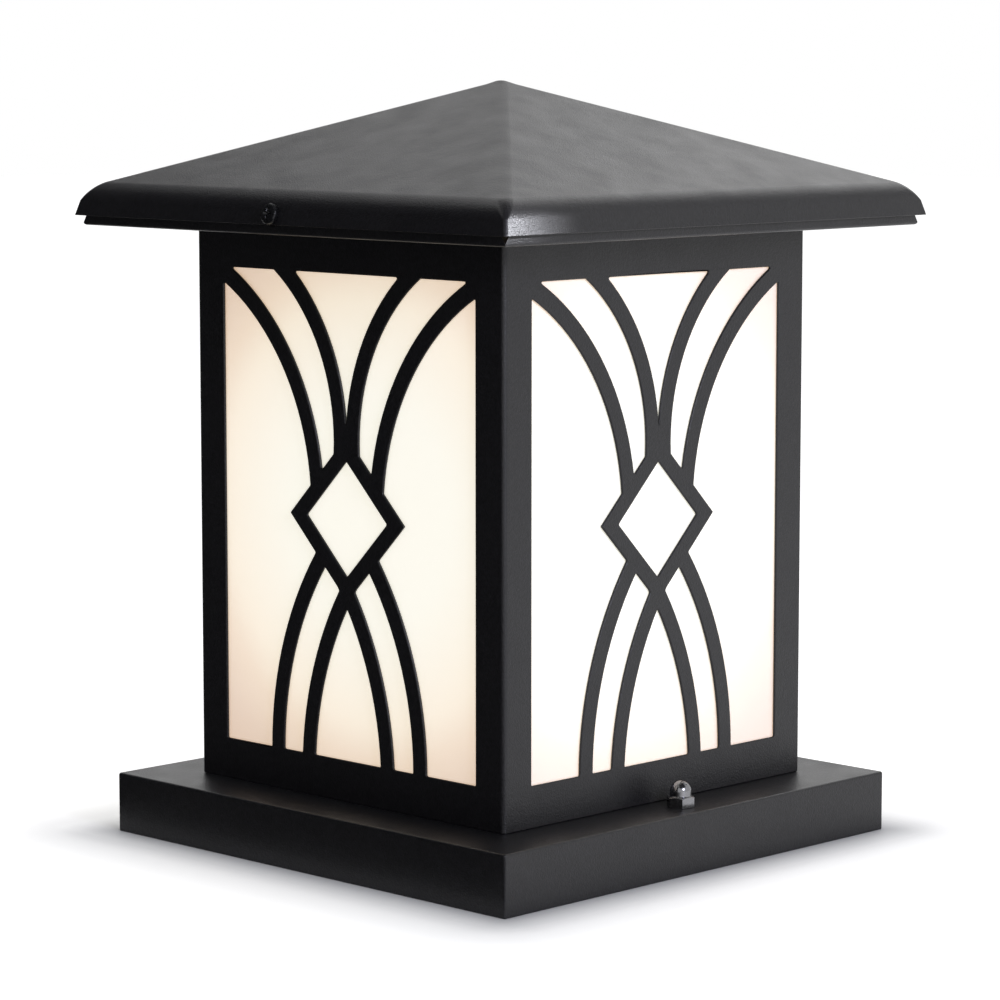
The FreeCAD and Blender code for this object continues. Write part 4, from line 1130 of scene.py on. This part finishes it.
lay_floor()
light_middle = (0, 0, 0.14)
cool = (0.90, 0.93, 1.15)


def softbox(name, place, width, height, power, colour=(1, 1, 1)):
    """Rectangular lamp at a place, aimed at the light's middle."""
    data = bpy.data.lights.new(name, "AREA")
    data.shape = "RECTANGLE"
    data.size = width
    data.size_y = height
    data.energy = power
    data.color = colour
    turn = (Vector(light_middle) - Vector(place)).to_track_quat("-Z", "Y").to_matrix().to_4x4()
    in_scene(name, data).matrix_world = Matrix.Translation(place) @ turn


softbox("right_softbox", (1.5, -0.35, 0.75), width=0.4, height=0.4, power=9.5, colour=cool)
softbox("back_softbox", (-0.5, 1.9, 1.5), width=1.4, height=1.0, power=5)
softbox("top_softbox", (-0.1, 0.1, 1.8), width=1.4, height=1.4, power=10)
card_grey = (0.08, 0.08, 0.08)
card_foot = 2 * MM
card_top = 1.5
cloth_height = 0.5 * MM
# Corners that neighbouring cards share.
front_corner = (0.3, -1.3)
left_corner = (-1.3, -1.1)
dipped_corner = (-1.05, -0.28, 1.25)
upper_corner = (-0.1, -0.7)


def flag(name, corners):
    """Dark card that only the light's own reflections see."""
    mesh = bpy.data.meshes.new(name)
    mesh.from_pydata(corners, [], [range(len(corners))])
    card = in_scene(name, mesh)
    mesh.materials.append(finish("flag_black", card_grey, 1.0, specular=0.0))
    card.visible_camera = False
    card.visible_shadow = False
    card.visible_diffuse = False


def level(height, *spots):
    """Corners of a level card."""
    return [(x, y, height) for x, y in spots]


def standing(start, end, foot, top):
    """Corners of an upright card over the line between two spots."""
    return [(*start, foot), (*end, foot), (*end, top), (*start, top)]


flag("front_left_flag", standing(front_corner, left_corner, card_foot, card_top))
flag("left_flag", [(*left_corner, card_foot), (-1.3, -0.1, card_foot), dipped_corner,
                   (*left_corner, card_top)])
flag("upper_left_flag", [(*left_corner, card_top), dipped_corner, (*upper_corner, card_top),
                         (*front_corner, card_top)])
flag("slope_flag", [(-0.6, -0.6, 0.1), (-0.6, -0.15, 0.1), (-0.6, 0.20, 0.5), (-0.6, 0.34, 0.75),
                    (-0.6, -0.6, 0.75)])
flag("ridge_flag", level(card_top, upper_corner, (0.3, -0.7), (0.3, 0.6), (0.0, 0.85), (-0.5, 0.72),
                         (-0.72, 0.5), (-0.8, 0.2)))
flag("upper_right_flag", [(*front_corner, card_top), (0.3, 0.6, card_top), (1.4, 0.6, 1.2),
                          (1.4, -1.3, 1.2)])
flag("floor_cloth", level(cloth_height, (0.35, -1.3), (0.35, -0.122), (-0.135, -0.122), left_corner))
flag("left_cloth", level(cloth_height, (-0.135, -0.135), (-0.135, 0.0), (-1.3, -0.1), left_corner))
flag("knee_flag", standing((0.15, 0.9), (0.42, 0.9), 0.62, 1.6))
spot_power = 108
spot_colour = (0.96, 0.97, 1.04)
spot_radius = 18 * MM
spot_angle = math.radians(2.4)
spot_stand = Vector((0.664, 0.708, 0.242))
spot_past_corner = 9 * MM
spot_over_lip = 4 * MM


def eave_spot():
    """Narrow lamp that picks out the front right corner of the eave."""
    low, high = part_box("roof_cap")
    aim = Vector((high.x, -high.x - spot_past_corner, low.z + spot_over_lip))
    data = bpy.data.lights.new("eave_spot", "SPOT")
    data.energy = spot_power
    data.color = spot_colour
    data.shadow_soft_size = spot_radius
    data.spot_size = spot_angle
    data.spot_blend = 1.0
    turn = spot_stand.to_track_quat("Z", "Y").to_matrix().to_4x4()
    in_scene("eave_spot", data).matrix_world = Matrix.Translation(aim + spot_stand) @ turn


eave_spot()

scene.view_settings.view_transform = "Standard"
